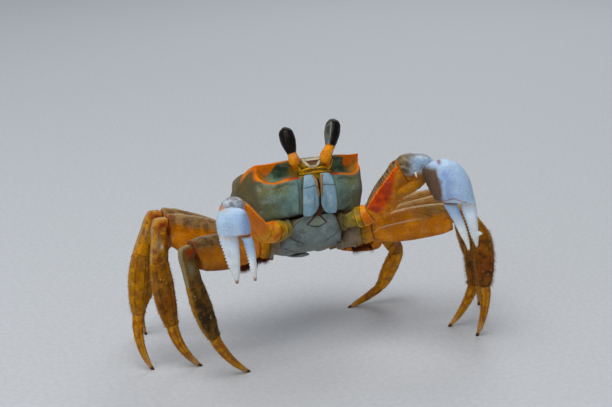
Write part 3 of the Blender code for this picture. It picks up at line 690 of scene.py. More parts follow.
def rounded_loop(keys, per, tight=None):
    """Closed Catmull-Rom loop through the key points.  Returns points and the key index."""
    keys = np.array(keys)
    n = len(keys)
    out, idx = [], []
    for i in range(n):
        p0, p1, p2, p3 = keys[(i - 1) % n], keys[i], keys[(i + 1) % n], keys[(i + 2) % n]
        l0, l1, l2 = (max(np.linalg.norm(b - a), 1e-3) for a, b in ((p0, p1), (p1, p2), (p2, p3)))
        m1 = (p2 - p1) / l1 * l0 / (l0 + l1) + (p1 - p0) / l0 * l1 / (l0 + l1)
        m2 = (p3 - p2) / l2 * l1 / (l1 + l2) + (p2 - p1) / l1 * l2 / (l1 + l2)
        m1, m2 = m1 * l1, m2 * l1
        if tight is not None:
            m1, m2 = m1 * tight[i], m2 * tight[(i + 1) % n]
        for k in range(per[i]):
            f = k / per[i]
            out.append((2 * f**3 - 3 * f**2 + 1) * p1 + (f**3 - 2 * f**2 + f) * m1
                       + (-2 * f**3 + 3 * f**2) * p2 + (f**3 - f**2) * m2)
            idx.append(i + f)
    return np.array(out), np.array(idx)


def carapace():
    piece = Piece("carapace_shell", "shell")
    step = 0.26 / FINE
    xs = np.unique(np.concatenate([np.arange(-17.3, 17.31, step), [-17.3, 17.3],
                                   np.linspace(-21, -17.3, int(16 * FINE)), np.linspace(17.3, 21, int(16 * FINE))]))
    per = [18, 30, 30, 22, 22, 14, 8, 8, 8, 8, 6, 14, 14, 14, 14, 6, 14, 16, 14, 12, 16]
    per = [max(2, int(v * FINE)) for v in per]
    tight = [1.0] * 21
    grid, xi, ki = [], [], []
    for x in xs:
        loop, idx = rounded_loop(shell_section(float(x)), per, tight)
        over = max(0.0, abs(x) - TOOTH_X)
        sx = math.copysign(abs(x) - over * (1 - FLANK_SQUEEZE), x)
        grid.append(np.stack([np.full(len(loop), sx), loop[:, 0], loop[:, 1]], -1))
        xi.append(np.full(len(loop), x))
        ki.append(idx)
    g, x, k = np.array(grid), np.array(xi), np.array(ki)
    s = np.abs(x)
    n = normals(g)
    y, z = g[..., 1], g[..., 2]
    dorsal = ease(0.3, 1.2, k) * (1 - ease(5.2, 5.9, k))
    # grooves of the back: the H mark, the gastric and branchial fields, the cervical arc
    h_mark = ridge(s, 4.6 + 0.02 * (y - 2) ** 2, 0.9) * ease(-7.5, -3, y) * (1 - ease(8, 12, y))
    bar = ridge(y, 2.4 + 0.03 * s**2, 0.9) * (1 - ease(4.0, 5.4, s))
    arc = ridge(y, -7.6 + 0.055 * (s - 6) ** 2, 0.8) * ease(4.2, 6, s) * (1 - ease(11, 14, s))
    furrow = np.clip(h_mark + bar + 0.6 * arc, 0, 1.2) * dorsal
    side_keel = ridge(s, 17.9, 0.55) * ease(-13, -9, y) * (1 - ease(8, 12, y)) * ease(3.6, 5.0, k) * (1 - ease(6.4, 7.2, k))
    front = ease(10.6, 11.4, k) * (1 - ease(15.2, 15.9, k))
    # cheek furrow running down beside the mouth and the curved one under the orbit
    cheek_line = ridge(z, 1.2 - 0.10 * (s - 9.6) ** 2, 0.35) * ease(6.2, 7.6, s) * (1 - ease(12.0, 13.6, s)) * front
    mouth_rim = ridge(s, 6.35 + 0.02 * (z + 3) ** 2, 0.30) * front * ease(-8.2, -7, z)
    d = -0.32 * furrow + 0.18 * side_keel - 0.16 * cheek_line + 0.16 * mouth_rim
    d = d + 0.10 * (fbm(g, 3.4, 2, 3) - 0.5) * (dorsal + 0.6 * front)
    grain = granules(g, 0.62, 11)
    d = d + 0.075 * grain * dorsal * (0.35 + 0.65 * ease(6, 16, s) + 0.2 * ease(4.4, 5.4, k))
    d = d + 0.02 * granules(g, 0.8, 17, 0.6) * front * (0.3 + ease(12, 17, s))
    # beads along both orbital margins and the side margin
    beads = 0.5 + 0.5 * np.cos(2 * np.pi * s / 0.62)
    rim_up = ridge(k, 6.0, 0.16) * ease(4.8, 6.2, s) * (1 - ease(17.4, 18.0, s))
    rim_low = ridge(k, 10.85, 0.22) * ease(5.2, 6.5, s) * (1 - ease(17.0, 17.6, s))
    d = d + 0.14 * rim_up * beads + 0.16 * rim_low * beads
    edge_beads = 0.5 + 0.5 * np.cos(2 * np.pi * y / 0.7)
    side_rim = ridge(k, 6.0, 0.25) * ease(17.5, 18.0, s)
    d = d + 0.12 * side_rim * edge_beads
    # dent of the front lobe
    lobe = (1 - ease(2.2, 3.3, s))
    drop = np.clip((7.5 - z) / 2.6, 0, 1.2)
    edge = 3.1 - 2.1 * drop
    dent = lobe * ease(5.9, 6.2, k) * (1 - ease(edge - 0.9, edge - 0.55, np.abs(x + 0.4))) * (1 - ease(0.6, 0.75, drop)) * ease(0.08, 0.2, drop)
    swell = lobe * ridge(np.abs(x + 0.4), edge - 0.25, 0.35) * ease(5.9, 6.3, k) * (1 - ease(0.95, 1.1, drop))
    d = d - 0.32 * dent + 0.20 * swell
    g = g + n * d[..., None]

    # paint
    m = fbm(g, 2.6, 4, 21)
    blot = fbm(g, 5.5, 3, 31)
    spots, _ = cells(g, 1.7, 41)
    back = mix(rgb(158, 150, 128), rgb(116, 112, 96), ease(0.42, 0.62, blot))
    back = mix(back, rgb(96, 84, 64), 0.65 * ease(0.56, 0.70, m))
    back = mix(back, rgb(196, 190, 170), 0.55 * (1 - ease(0.10, 0.26, spots)))
    back = mix(back, rgb(92, 82, 62), 0.5 * np.clip(furrow, 0, 1))
    back = mix(back, rgb(186, 178, 158), 0.35 * grain * ease(8, 15, s))
    back = mix(back, mix(rgb(110, 98, 64), rgb(80, 74, 50), m), 0.85 * ease(16.4, 17.6, s) * (1 - ease(2.0, 9.0, y)))
    cheek = mix(MOSS, BLUE, (1 - ease(6.0, 10.0, s)) * 0.75)
    cheek = mix(cheek, rgb(124, 130, 84), 0.60 * ease(-3.0, -7.4, z) * ease(8, 12, s))
    cheek = mix(cheek, BLUE, 0.55 * ease(-0.5, -4.5, z) * (1 - ease(10.5, 14, s)))
    cheek = mix(cheek, rgb(92, 86, 60), 0.85 * ease(14.2, 17.6, s))
    cheek = mix(cheek, rgb(134, 126, 76), 0.55 * ridge(z, 0.6, 1.5) * ease(8.5, 11.5, s))
    cheek = mix(cheek, rgb(88, 96, 84), 0.45 * ease(0.45, 0.62, blot))
    cheek = mix(cheek, rgb(160, 168, 150), 0.30 * ease(0.56, 0.68, m))
    patchy = fbm(g, 1.5, 3, 51)
    cheek = mix(cheek, rgb(128, 152, 140), 0.45 * ease(0.52, 0.66, patchy) * (1 - ease(13, 16, s)))
    cheek = mix(cheek, rgb(92, 98, 62), 0.45 * ease(0.52, 0.66, fbm(g, 2.2, 3, 57)) * ease(7.5, 10.5, s))
    cheek = mix(cheek, rgb(70, 76, 60), 0.55 * cheek_line)
    cheek = mix(cheek, rgb(132, 140, 116), 0.6 * mouth_rim)
    orbit = mix(TEAL, rgb(66, 90, 68), ease(0.40, 0.60, m))
    orbit = mix(orbit, rgb(42, 62, 44), 0.75 * ease(0.48, 0.60, fbm(g, 1.6, 3, 61)) * ease(8, 9.5, s) * (1 - ease(13, 15, s)))
    orbit = mix(orbit, rgb(124, 150, 130), 0.5 * ease(8.6, 9.6, k) * (1 - ease(12, 15, s)))
    orbit = mix(orbit, rgb(180, 118, 16), 0.90 * ease(11.6, 15.4, s + 1.2 * (m - 0.5)))
    orbit = mix(orbit, rgb(168, 122, 14), 0.85 * (1 - ease(5.4, 8.0, s + 1.5 * (m - 0.5))))
    orbit = mix(orbit, rgb(196, 84, 8), 0.75 * ease(8.8, 9.8, k) * ease(6.2, 7.2, s) * (1 - ease(8.6, 10.4, s)))
    under = mix(rgb(126, 120, 100), rgb(96, 90, 74), m)
    col = mix(back, orbit, ease(6.25, 6.7, k))
    col = mix(col, cheek, ease(10.9, 11.25, k))
    col = mix(col, under, ease(15.4, 15.9, k) * (1 - ease(19.2, 20.4, k)))
    # margins: orange to red-orange, strongest at the outer corners
    reach = 0.40 + 1.75 * ease(10.2, 13.2, s + 2.4 * (m - 0.5)) * (1 - 0.45 * ease(14.5, 16.5, s))
    up_amt = ease(5.62, 5.82, k) * (1 - ease(6.0 + reach - 0.12, 6.0 + reach + 0.12, k)) * ease(5.0, 6.4, s) * (1 - ease(17.9, 18.6, s))
    up_col = mix(rgb(150, 126, 46), ORANGE, ease(7.0, 10.5, s))
    up_col = mix(up_col, rgb(226, 92, 4), 0.8 * ease(15.8, 17.0, s))
    col = mix(col, up_col, np.clip(up_amt * (0.70 + 0.4 * ease(8, 12, s)), 0, 1))
    low_amt = ease(10.2, 10.45, k) * (1 - ease(11.15, 11.35, k)) * ease(4.9, 5.8, s) * (1 - ease(17.2, 17.9, s))
    low_col = mix(rgb(176, 62, 6), mix(ORANGE, rgb(206, 112, 10), ease(0.4, 0.6, m)), ease(6.6, 10.0, s))
    col = mix(col, low_col, np.clip(low_amt * 1.15, 0, 1))
    corner = ease(15.8, 16.9, s) * (1 - ease(17.7, 18.2, s)) * ease(5.6, 6.2, k) * (1 - ease(10.9, 11.4, k))
    col = mix(col, mix(ORANGE, rgb(226, 92, 8), m), 0.85 * corner)
    flank = ease(17.3, 18.2, s) * ease(5.0, 6.0, k)
    col = mix(col, mix(rgb(104, 94, 62), rgb(76, 72, 50), m), 0.9 * flank)
    flank_edge = ease(17.0, 17.6, s) * ease(3.9, 4.5, k) * (1 - ease(6.5, 7.1, k)) * (1 - ease(-7.5, -4.5, y))
    col = mix(col, mix(ORANGE, rgb(214, 108, 6), m), 0.95 * flank_edge)
    # the front lobe between the eyes: white flanks round a brown triangular dent
    brow = ease(5.7, 6.0, k) * (1 - ease(11.4, 11.9, k)) * (1 - ease(4.3, 5.0, s))
    fall = np.clip((7.5 - z) / 2.6, 0, 1.2)
    half = 3.1 - 2.1 * fall
    wide = np.abs(x + 0.4)
    col = mix(col, mix(rgb(186, 146, 20), rgb(98, 84, 30), ease(0.42, 0.58, fbm(g, 0.8, 3, 65))), 0.95 * brow)
    rim = (1 - ease(half + 0.10, half + 0.35, wide)) * (1 - ease(0.92, 1.06, fall)) * brow
    col = mix(col, rgb(226, 214, 184), rim)
    inside = (1 - ease(half - 0.85, half - 0.60, wide)) * (1 - ease(0.62, 0.74, fall)) * ease(0.10, 0.20, fall) * brow
    col = mix(col, mix(rgb(122, 84, 46), rgb(84, 54, 30), ease(0.35, 0.6, m)), 0.95 * inside)
    shade = (ridge(wide, half - 0.72, 0.14) * (1 - ease(0.70, 0.8, fall)) + ridge(fall, 0.68, 0.05) * (wide < half - 0.6)) * brow
    col = mix(col, rgb(56, 38, 22), 0.85 * np.clip(shade, 0, 1))
    below = (1 - ease(4.6, 5.6, s)) * ease(11.8, 12.4, k) * (1 - ease(15, 16, k))
    col = mix(col, rgb(92, 78, 52), 0.85 * below)
    piece.tube(body(g), col, close=(False, False))
    piece.finish(replaces=("carapace",))
    return


# ----------------------------------------------------------------------------
# thoracic sternum and abdomen
# ----------------------------------------------------------------------------
def sternum_section(x):
    s = abs(x)
    top = FLOOR_OF_SHELL - GAP - 0.05
    nose_y = tween([(0, -13.0), (4.6, -13.0), (6.5, -12.2), (8.0, -10.0), (9.0, -8.4), (11.3, -4.8)], s)
    nose_z = tween([(0, -8.5), (4.6, -8.6), (6.5, -9.3), (8.0, -11.0), (9.0, -12.6), (11.3, -14.6)], s)
    chin_y = tween([(0, -10.9), (6.5, -9.0), (9.0, -6.4), (11.3, -3.4)], s)
    chin_z = tween([(0, -13.2), (6.5, -13.9), (9.0, -15.2), (11.3, -16.2)], s)
    keel = tween([(0, STERNUM_DEPTH), (6, STERNUM_DEPTH + 0.2), (11.3, STERNUM_DEPTH + 1.4)], s)
    back_y = tween([(0, 14.8), (6, 14.2), (9, 12.6), (11.3, 9.8)], s)
    trough = tween([(0, 0.8), (3.8, 0.8), (5.2, 0.0)], s)      # the abdomen lies in it
    return [(nose_y, nose_z), (0.5 * (nose_y + chin_y) - 0.2, 0.5 * (nose_z + chin_z)),
            (chin_y, chin_z), (chin_y + 2.4, 0.45 * chin_z + 0.55 * keel),
            (-3.2 + s * 0.1, keel), (3.0, keel + 0.05 + trough), (8.5, keel + 2.6 + trough),
            (back_y - 1.4, -13.0), (back_y, -10.4), (back_y - 0.6, top),
            (6.0, top), (-2.0, top), (min(nose_y + 2.0, -3.2), top)]


def sternum():
    piece = Piece("sternum_plates", "sternum")
    xs = np.arange(-11.3, 11.301, 0.25 / FINE)
    xs = np.unique(np.concatenate([xs, [11.3]]))
    per = [max(2, int(v * FINE)) for v in (16, 16, 16, 20, 24, 24, 20, 14, 12, 12, 10, 10, 8)]
    grid, xi, ki = [], [], []
    for x in xs:
        loop, idx = rounded_loop(sternum_section(float(x)), per)
        grid.append(np.stack([np.full(len(loop), x), loop[:, 0], loop[:, 1]], -1))
        xi.append(np.full(len(loop), x))
        ki.append(idx)
    g, x, k = np.array(grid), np.array(xi), np.array(ki)
    s = np.abs(x)
    n = normals(g)
    y, z = g[..., 1], g[..., 2]
    skin = (1 - ease(8.4, 9.0, k))
    # shoulder: the outer edge rounds in
    edge = ease(10.3, 11.3, s)
    cut = np.zeros_like(s)
    for at in (-8.0, -3.6, 0.8, 5.2, 9.2):        # sutures between the sternites
        line = ridge(y + 0.20 * (s - 6), at, 0.22) * ease(3.0, 4.2, s)
        cut = np.maximum(cut, line)
    # the small triangular plate at the tip, between the two dark arms
    fore = 1 - ease(-8.5, -7.0, y)
    fall = -8.3 - z                                # how far below the sternum's front edge
    arms = ridge(s, 0.35 + 2.75 * np.clip(fall / 2.6, 0, 1), 0.34) * (1 - ease(2.5, 3.3, fall)) * fore
    tri_base = ridge(fall, 3.55 - 0.10 * s * s, 0.20) * (1 - ease(2.2, 3.0, s)) * fore
    small = (1 - ease(0.0, 0.3, s - np.minimum(2.75 * fall / 2.6, 3.1))) * (1 - ease(3.3, 3.6, fall + 0.1 * s * s)) * fore
    bound = 5.0 + 1.05 * np.clip(fall - 0.3, 0, 3.7) + 0.36 * np.clip(fall - 4.0, 0, 8)
    seam = ridge(s, bound, 0.20) * fore
    outer = ease(bound - 0.1, bound + 0.25, s)
    mid = ridge(s, 0.0, 0.20) * ease(-13.2, -13.6, z)
    d = -0.22 * cut * skin - 0.38 * arms - 0.22 * tri_base - 0.12 * mid * skin - 0.5 * edge**2 - 0.26 * seam
    d = d - 0.18 * outer * fore + 0.10 * small
    d = d + 0.10 * (fbm(g, 3.0, 3, 5) - 0.5) * skin
    g = g + n * d[..., None]
    m = fbm(g, 2.2, 4, 51)
    b = fbm(g, 5.0, 2, 52)
    col = mix(SLATE, rgb(104, 112, 106), ease(0.4, 0.6, b))
    col = mix(col, rgb(152, 164, 166), 0.45 * ease(0.54, 0.68, m))
    col = mix(col, mix(rgb(150, 134, 112), rgb(114, 100, 82), m), 0.85 * outer)
    # painted shade underneath: darker towards the keel
    col = mix(col, rgb(122, 112, 92), 0.4 * ease(-15.5, -18.0, z))
    col = mix(col, rgb(150, 160, 140), 0.65 * small)
    col = mix(col, rgb(60, 44, 26), 0.75 * cut * skin)
    col = mix(col, rgb(88, 42, 8), np.clip(1.15 * arms, 0, 1))
    col = mix(col, rgb(34, 32, 26), 0.9 * tri_base)
    col = mix(col, rgb(58, 44, 24), 0.85 * seam)
    piece.tube(body(g), col)
    piece.finish(replaces=("sternum",))


def abdomen():
    piece = Piece("abdomen_plates", "sternum")
    path = [(15.9, -9.2), (15.0, -12.2), (11.8, -14.8), (8.8, -16.0), (6.0, -16.95), (4.0, -17.4),
            (2.6, -17.6), (1.4, -17.6)]
    width = [5.0, 4.7, 4.2, 3.7, 3.2, 2.7, 2.1, 1.2]
    arc = np.concatenate([[0], np.cumsum([math.dist(a, b) for a, b in zip(path[:-1], path[1:])])])
    table = [(float(a), (*p, w)) for a, p, w in zip(arc, path, width)]
    rings = steps(arc[-1], 0.2, 20)
    grid, frac, ang = [], [], []
    a = 2 * np.pi * (np.arange(steps(14, 0.16)) + 0.5) / steps(14, 0.16)
    c, sn = np.cos(a), np.sin(a)
    kk = (np.abs(c) ** 2.6 + np.abs(sn) ** 2.6) ** (-1 / 2.6)
    for i in range(rings):
        st = arc[-1] * i / (rings - 1)
        y, z, w = tween(table, st)
        y0, z0 = tween(table, max(st - 0.4, 0))[:2]
        y1, z1 = tween(table, min(st + 0.4, arc[-1]))[:2]
        t = unit((0, y1 - y0, z1 - z0))
        out = np.array((0, -t[2], t[1]))
        if out[2] > 0.3 or (abs(out[2]) < 0.3 and out[1] < 0):
            out = -out
        centre = np.array((0.0, y, z)) + out * 0.4
        thin = 0.55 * (1 - 0.45 * float(ease(0.86, 1.0, i / (rings - 1))))
        grid.append(centre + np.outer(kk * c * w, (1.0, 0, 0)) + np.outer(kk * sn * thin, out))
        frac.append(np.full(len(a), st))
        ang.append(sn)
    g, st, sn = np.array(grid), np.array(frac), np.array(ang)
    n = normals(g)
    groove = np.zeros_like(st)
    for at in (3.4, 7.6, 11.6, 15.2, 18.6, 21.4):
        groove = np.maximum(groove, ridge(st, at, 0.22))
    d = -0.16 * groove + 0.12 * ridge(g[..., 0], 0, 0.8) * (sn > 0) + 0.05 * (fbm(g, 1.6, 3, 6) - 0.5)
    g = g + n * d[..., None]
    m = fbm(g, 1.8, 3, 61)
    col = mix(rgb(140, 148, 144), rgb(112, 112, 98), m)
    col = mix(col, rgb(74, 56, 34), 0.8 * groove)
    piece.tube(body(g), col)
    piece.finish(replaces=("abdomen",))


# ----------------------------------------------------------------------------
# mouth parts
# ----------------------------------------------------------------------------
def curved_tube(piece, pts, radii, tint, size=0.14, flat=1.0, rough=0.03, seed=3):
    """Round or flattened tube along a smooth path of body-frame points."""
    pts = np.asarray(pts, float)
    arc = np.concatenate([[0], np.cumsum(np.linalg.norm(np.diff(pts, axis=0), axis=1))])
    table = [(float(a), tuple(p)) for a, p in zip(arc, pts)]
    rt = [(float(arc[-1] * q[0]), q[1]) for q in radii]
    rings = steps(arc[-1], size, 10)
    grid = []
    for i in range(rings):
        st = arc[-1] * i / (rings - 1)
        c = tween(table, st)
        t = unit(tween(table, min(st + 0.2, arc[-1])) - tween(table, max(st - 0.2, 0)))
        ref = np.array((0.0, -1.0, 0.3))
        a = unit(np.cross(t, ref) + 1e-6)
        b = np.cross(t, a)
        r = tween(rt, st)
        an = 2 * np.pi * np.arange(20) / 20
        grid.append(c + np.outer(np.cos(an) * r, a) + np.outer(np.sin(an) * r * flat, b))
    g = np.array(grid)
    n = normals(g)
    g = g + n * (rough * (fbm(g, 0.5, 2, seed) - 0.5))[..., None]
    m = fbm(g, 0.8, 3, seed + 3)
    piece.tube(body(g), np.asarray(tint) * (0.75 + 0.5 * m)[..., None])


def maxilliped(side):
    piece = Piece("maxilliped_plates_" + side, "mouth")
    sx = 1 if side == "L" else -1
    path = [(-17.9, 2.8), (-18.2, 1.2), (-17.85, -1.0), (-17.3, -3.4), (-16.4, -5.8), (-15.5, -7.6), (-14.9, -8.7)]
    inner = [1.2, 0.9, 0.6, 0.4, 0.45, 1.3, 2.7]
    outer = [4.1, 4.7, 5.2, 5.5, 5.6, 5.6, 5.4]
    arc = np.concatenate([[0], np.cumsum([math.dist(a, b) for a, b in zip(path[:-1], path[1:])])])
    table = [(float(a), (*p, i, o)) for a, p, i, o in zip(arc, path, inner, outer)]
    total = float(arc[-1])
    rings = steps(total, 0.13, 20)
    around = steps(12, 0.13)
    a = 2 * np.pi * (np.arange(around) + 0.5) / around
    c, sn = np.cos(a), np.sin(a)
    kk = (np.abs(c) ** 3.4 + np.abs(sn) ** 3.4) ** (-1 / 3.4)
    grid, st_, u_ = [], [], []
    for i in range(rings):
        st = total * i / (rings - 1)
        y, z, i_, o_ = tween(table, st)
        y0, z0 = tween(table, max(st - 0.4, 0))[:2]
        y1, z1 = tween(table, min(st + 0.4, total))[:2]
        t = unit((0, y1 - y0, z1 - z0))
        out = np.array((0, t[2], -t[1]))
        if out[1] > 0:
            out = -out
        d = min(st, total - st)
        round_ = math.sqrt(max(0.0, 1 - (1 - min(1, d / 0.9)) ** 2))
        w = 0.5 * (o_ - i_) * (0.84 + 0.16 * round_)
        th = 0.62 * (0.62 + 0.38 * round_)
        mid = 0.5 * (i_ + o_)
        grid.append(np.array((sx * mid, y, z)) + np.outer(kk * c * w, (1.0, 0, 0)) + np.outer(kk * sn * th, out))
        st_.append(np.full(around, st))
        u_.append(c * sx)
    g, st, u = np.array(grid), np.array(st_), np.array(u_)
    n = normals(g)
    face = ease(-0.2, 0.4, np.broadcast_to(sn, st.shape))
    joint = 3.55 + 0.35 * u                      # between merus and ischium
    line = ridge(st, joint, 0.14)
    groove = ridge(u, -0.42 + 0.05 * np.sin(st), 0.09) * ease(4.2, 5.4, st) * (1 - ease(9.5, 11, st))
    rim = ridge(u, 0.86, 0.12) + ridge(u, -0.86, 0.12)
    swell = 0.12 * np.sqrt(np.clip(1 - u**2, 0, 1))
    d = face * (swell - 0.20 * line - 0.10 * groove + 0.06 * rim + 0.05 * (fbm(g, 1.5, 3, 71) - 0.5))
    g = g + n * d[..., None]
    m = fbm(g, 1.6, 3, 72)
    col = mix(MOUTH, rgb(150, 182, 196), ease(0.45, 0.7, m))
    col = mix(col, rgb(104, 132, 142), 0.45 * ease(0.35, -0.6, u))
    col = mix(col, rgb(150, 180, 198), 0.5 * (1 - ease(2.0, 3.6, st)))
    col = mix(col, rgb(84, 92, 78), 0.80 * line + 0.35 * groove)
    col = mix(col, rgb(126, 122, 84), 0.70 * ease(0.80, 0.97, np.abs(u)))
    col = mix(col, rgb(120, 124, 100), 1 - face)
    piece.tube(body(g), col)
    # the palp: two short brown joints folded into the gap
    tone = rgb(146, 112, 74)
    curved_tube(piece, [(sx * 1.9, -18.3, 2.4), (sx * 1.25, -18.65, 2.0), (sx * 0.85, -18.75, 0.6), (sx * 0.75, -18.5, -1.2)],
                [(0, 0.42), (0.5, 0.46), (1, 0.36)], tone, seed=8)
    curved_tube(piece, [(sx * 0.72, -18.45, -1.35), (sx * 0.55, -18.2, -2.6), (sx * 0.40, -17.8, -3.9)],
                [(0, 0.34), (0.5, 0.34), (1, 0.18)], tone * 0.85, seed=9)
    piece.finish(replaces=("maxilliped_" + side,))


def face_parts():
    """Antennules folded under the front, the short antennae beside the orbits, the brow's yellow
    bar, and the dark skin that closes the mouth frame."""
    piece = Piece("antennae", "stalk")
    gold = rgb(206, 150, 16)
    for sx in (-1, 1):
        curved_tube(piece, [(sx * 0.5, -18.2, 4.65), (sx * 1.8, -18.45, 4.85), (sx * 3.2, -18.2, 4.75), (sx * 4.3, -17.6, 4.5)],
                    [(0, 0.20), (0.5, 0.30), (1, 0.26)], gold, seed=12)
        curved_tube(piece, [(sx * 4.1, -17.7, 4.3), (sx * 3.2, -18.35, 4.2), (sx * 2.0, -18.4, 4.25), (sx * 0.9, -18.2, 4.3)],
                    [(0, 0.18), (0.6, 0.17), (1, 0.08)], rgb(128, 92, 24), seed=14)
        curved_tube(piece, [(sx * 4.3, -17.7, 4.2), (sx * 5.0, -18.2, 4.7), (sx * 5.5, -18.4, 5.6)],
                    [(0, 0.40), (0.5, 0.34), (1, 0.22)], gold, seed=16)
        curved_tube(piece, [(sx * 5.5, -18.4, 5.5), (sx * 5.9, -18.6, 6.5), (sx * 5.6, -18.9, 7.4), (sx * 4.9, -19.0, 7.6)],
                    [(0, 0.22), (0.6, 0.15), (1, 0.07)], gold * 0.8, seed=18)
    curved_tube(piece, [(-5.2, -17.2, 3.7), (-2.6, -17.75, 3.55), (0, -17.9, 3.65), (2.6, -17.75, 3.55), (5.2, -17.2, 3.7)],
                [(0, 0.26), (0.3, 0.42), (0.5, 0.30), (0.7, 0.42), (1, 0.26)], mix(gold, rgb(140, 112, 30), 0.35), seed=20)
    piece.finish()
    skin = Piece("mouth_skin", "mouth")
    curved_tube(skin, [(0, -16.6, 2.4), (0, -16.7, -1.0), (0, -16.0, -4.0), (0, -14.9, -6.8), (0, -13.6, -8.6)],
                [(0, 1.1), (0.5, 1.0), (1, 1.3)], rgb(70, 38, 16), flat=0.5, seed=22)
    for sx in (-1, 1):
        curved_tube(skin, [(sx * 8.2, -10.9, -9.2), (sx * 9.4, -9.6, -10.0), (sx * 10.6, -8.0, -10.9), (sx * 11.8, -6.2, -12.0)],
                    [(0, 1.0), (0.4, 1.8), (1, 2.0)], rgb(118, 104, 66), size=0.3, rough=0.12, seed=24)
        curved_tube(skin, [(sx * 8.6, -10.2, -8.9), (sx * 10.2, -8.6, -9.0), (sx * 12.2, -5.0, -9.2)],
                    [(0, 0.9), (0.5, 1.2), (1, 1.2)], rgb(96, 88, 60), size=0.3, rough=0.12, seed=26)
    skin.finish()


# ----------------------------------------------------------------------------
# eyes
# ----------------------------------------------------------------------------
EYE = {"R": ((-6.2, -17.2, 5.9), (-6.9, -19.6, 7.2), (-7.2, -19.5, 9.6), (-7.9, -19.2, 17.9)),
       "L": ((4.6, -17.9, 5.6), (2.5, -20.9, 7.2), (5.2, -20.6, 10.2), (8.9, -19.3, 18.7))}
EYE_STALK = [(0.0, 0.8), (0.22, 1.05), (0.46, 1.85), (0.75, 1.65), (1.0, 1.45)]
EYE_CORNEA = [(0.0, 1.5), (0.2, 2.0), (0.55, 2.58), (0.78, 2.45), (0.92, 1.8), (1.0, 0.8)]
STALK_SHARE = {"R": 0.40, "L": 0.43}


def eye(side):
    pts = [body(p) for p in EYE[side]]
    route = Route(pts, (1.2, 1.6), normal=(1, 0, 0))
    total = route.length
    cut_at = total * STALK_SHARE[side]
    medial = np.array((-0.86, -0.50, 0.05) if side == "L" else (0.95, 0.15, 0.05))
    a = 2 * np.pi * np.arange(steps(15, 0.13)) / steps(15, 0.13)

    def rings(s0, s1, table, count, squash=1.0, curve=False):
        grid, frac, facing = [], [], []
        for i in range(count):
            f = i / (count - 1)
            f = math.sin(0.5 * math.pi * f) if curve else f
            st = s0 + (s1 - s0) * f
            t, n, h = route.frame(st)
            r = tween(table, f) * (0.93 if side == "R" else 0.97)
            ring = route.at(st) + np.outer(np.cos(a) * r, h) + np.outer(np.sin(a) * r * squash, n)
            grid.append(ring)
            frac.append(np.full(len(a), f))
            way = np.outer(np.cos(a), h) + np.outer(np.sin(a), n)
            m = medial - t * float(medial @ t)
            facing.append(way @ unit(m))
        return np.array(grid), np.array(frac), np.array(facing)

    stalk = Piece("eyestalk_skin_" + side, "stalk")
    g, f, face = rings(0.0, cut_at + 0.3, EYE_STALK, steps(total * 0.46, 0.12, 20))
    n = normals(g)
    fold = 0.07 * np.cos(2 * np.pi * f * 5.0) * (1 - ease(0.25, 0.6, f))
    ridge_line = 0.10 * ridge(face, 0.1, 0.18) * ease(0.3, 0.6, f)
    g = g + n * (fold + ridge_line + 0.05 * (fbm(g, 0.9, 3, 81) - 0.5))[..., None]
    m = fbm(g, 1.3, 3, 82)
    col = mix(YELLOW, rgb(206, 116, 2), ease(0.35, 0.65, m))
    col = mix(col, rgb(186, 96, 6), 0.6 * (1 - ease(0.0, 0.28, f)))
    col = mix(col, rgb(150, 96, 30), 0.55 * ease(0.88, 1.0, f))
    stalk.tube(g, col)
    stalk.finish(replaces=("eyestalk_" + side,))

    eye_ = Piece("cornea_eye_" + side, "cornea")
    g, f, face = rings(cut_at + 0.15, total, EYE_CORNEA, steps(total * 0.6, 0.10, 30), 0.96, True)
    n = normals(g)
    # the strip of stalk that runs up the inner side of the eye and over its top
    width = 0.80 + 0.12 * f + 0.10 * ease(0.0, 0.25, 0.25 - f)
    strip = ease(width - 0.03, width + 0.05, face) * (1 - ease(0.93, 0.98, f))
    base = (1 - ease(0.01, 0.05, f + 0.05 * face)) * (1.0 if side == "L" else 0.0)
    strip = np.clip(strip + base, 0, 1)
    seam = ridge(face, width - 0.01, 0.035) * (1 - base)
    g = g + n * (0.07 * strip - 0.05 * seam + 0.02 * strip * (fbm(g, 0.6, 2, 83) - 0.5))[..., None]
    m = fbm(g, 1.1, 3, 84)
    col = mix(INK, rgb(26, 13, 8), ease(0.45, 0.7, m))
    # painted sky reflection: the cornea greyed towards its top
    col = mix(col, rgb(62, 64, 60), 0.7 * ease(0.90, 0.985, f))
    bone = mix(rgb(98, 100, 88), rgb(62, 62, 54), ease(0.35, 0.65, m))
    bone = mix(bone, rgb(172, 180, 172), 0.7 * ridge(face, 0.90, 0.016) * ease(0.15, 0.3, f) * (1 - ease(0.7, 0.85, f)))
    bone = mix(bone, rgb(96, 118, 132), 0.7 * (1 - ease(0.10, 0.26, f)))
    bone = mix(bone, rgb(150, 104, 30), 0.7 * (1 - ease(0.03, 0.09, f)))
    col = mix(col, bone, strip)
    eye_.tube(g, col, close=(False, True))
    eye_.finish(replaces=("cornea_" + side,))


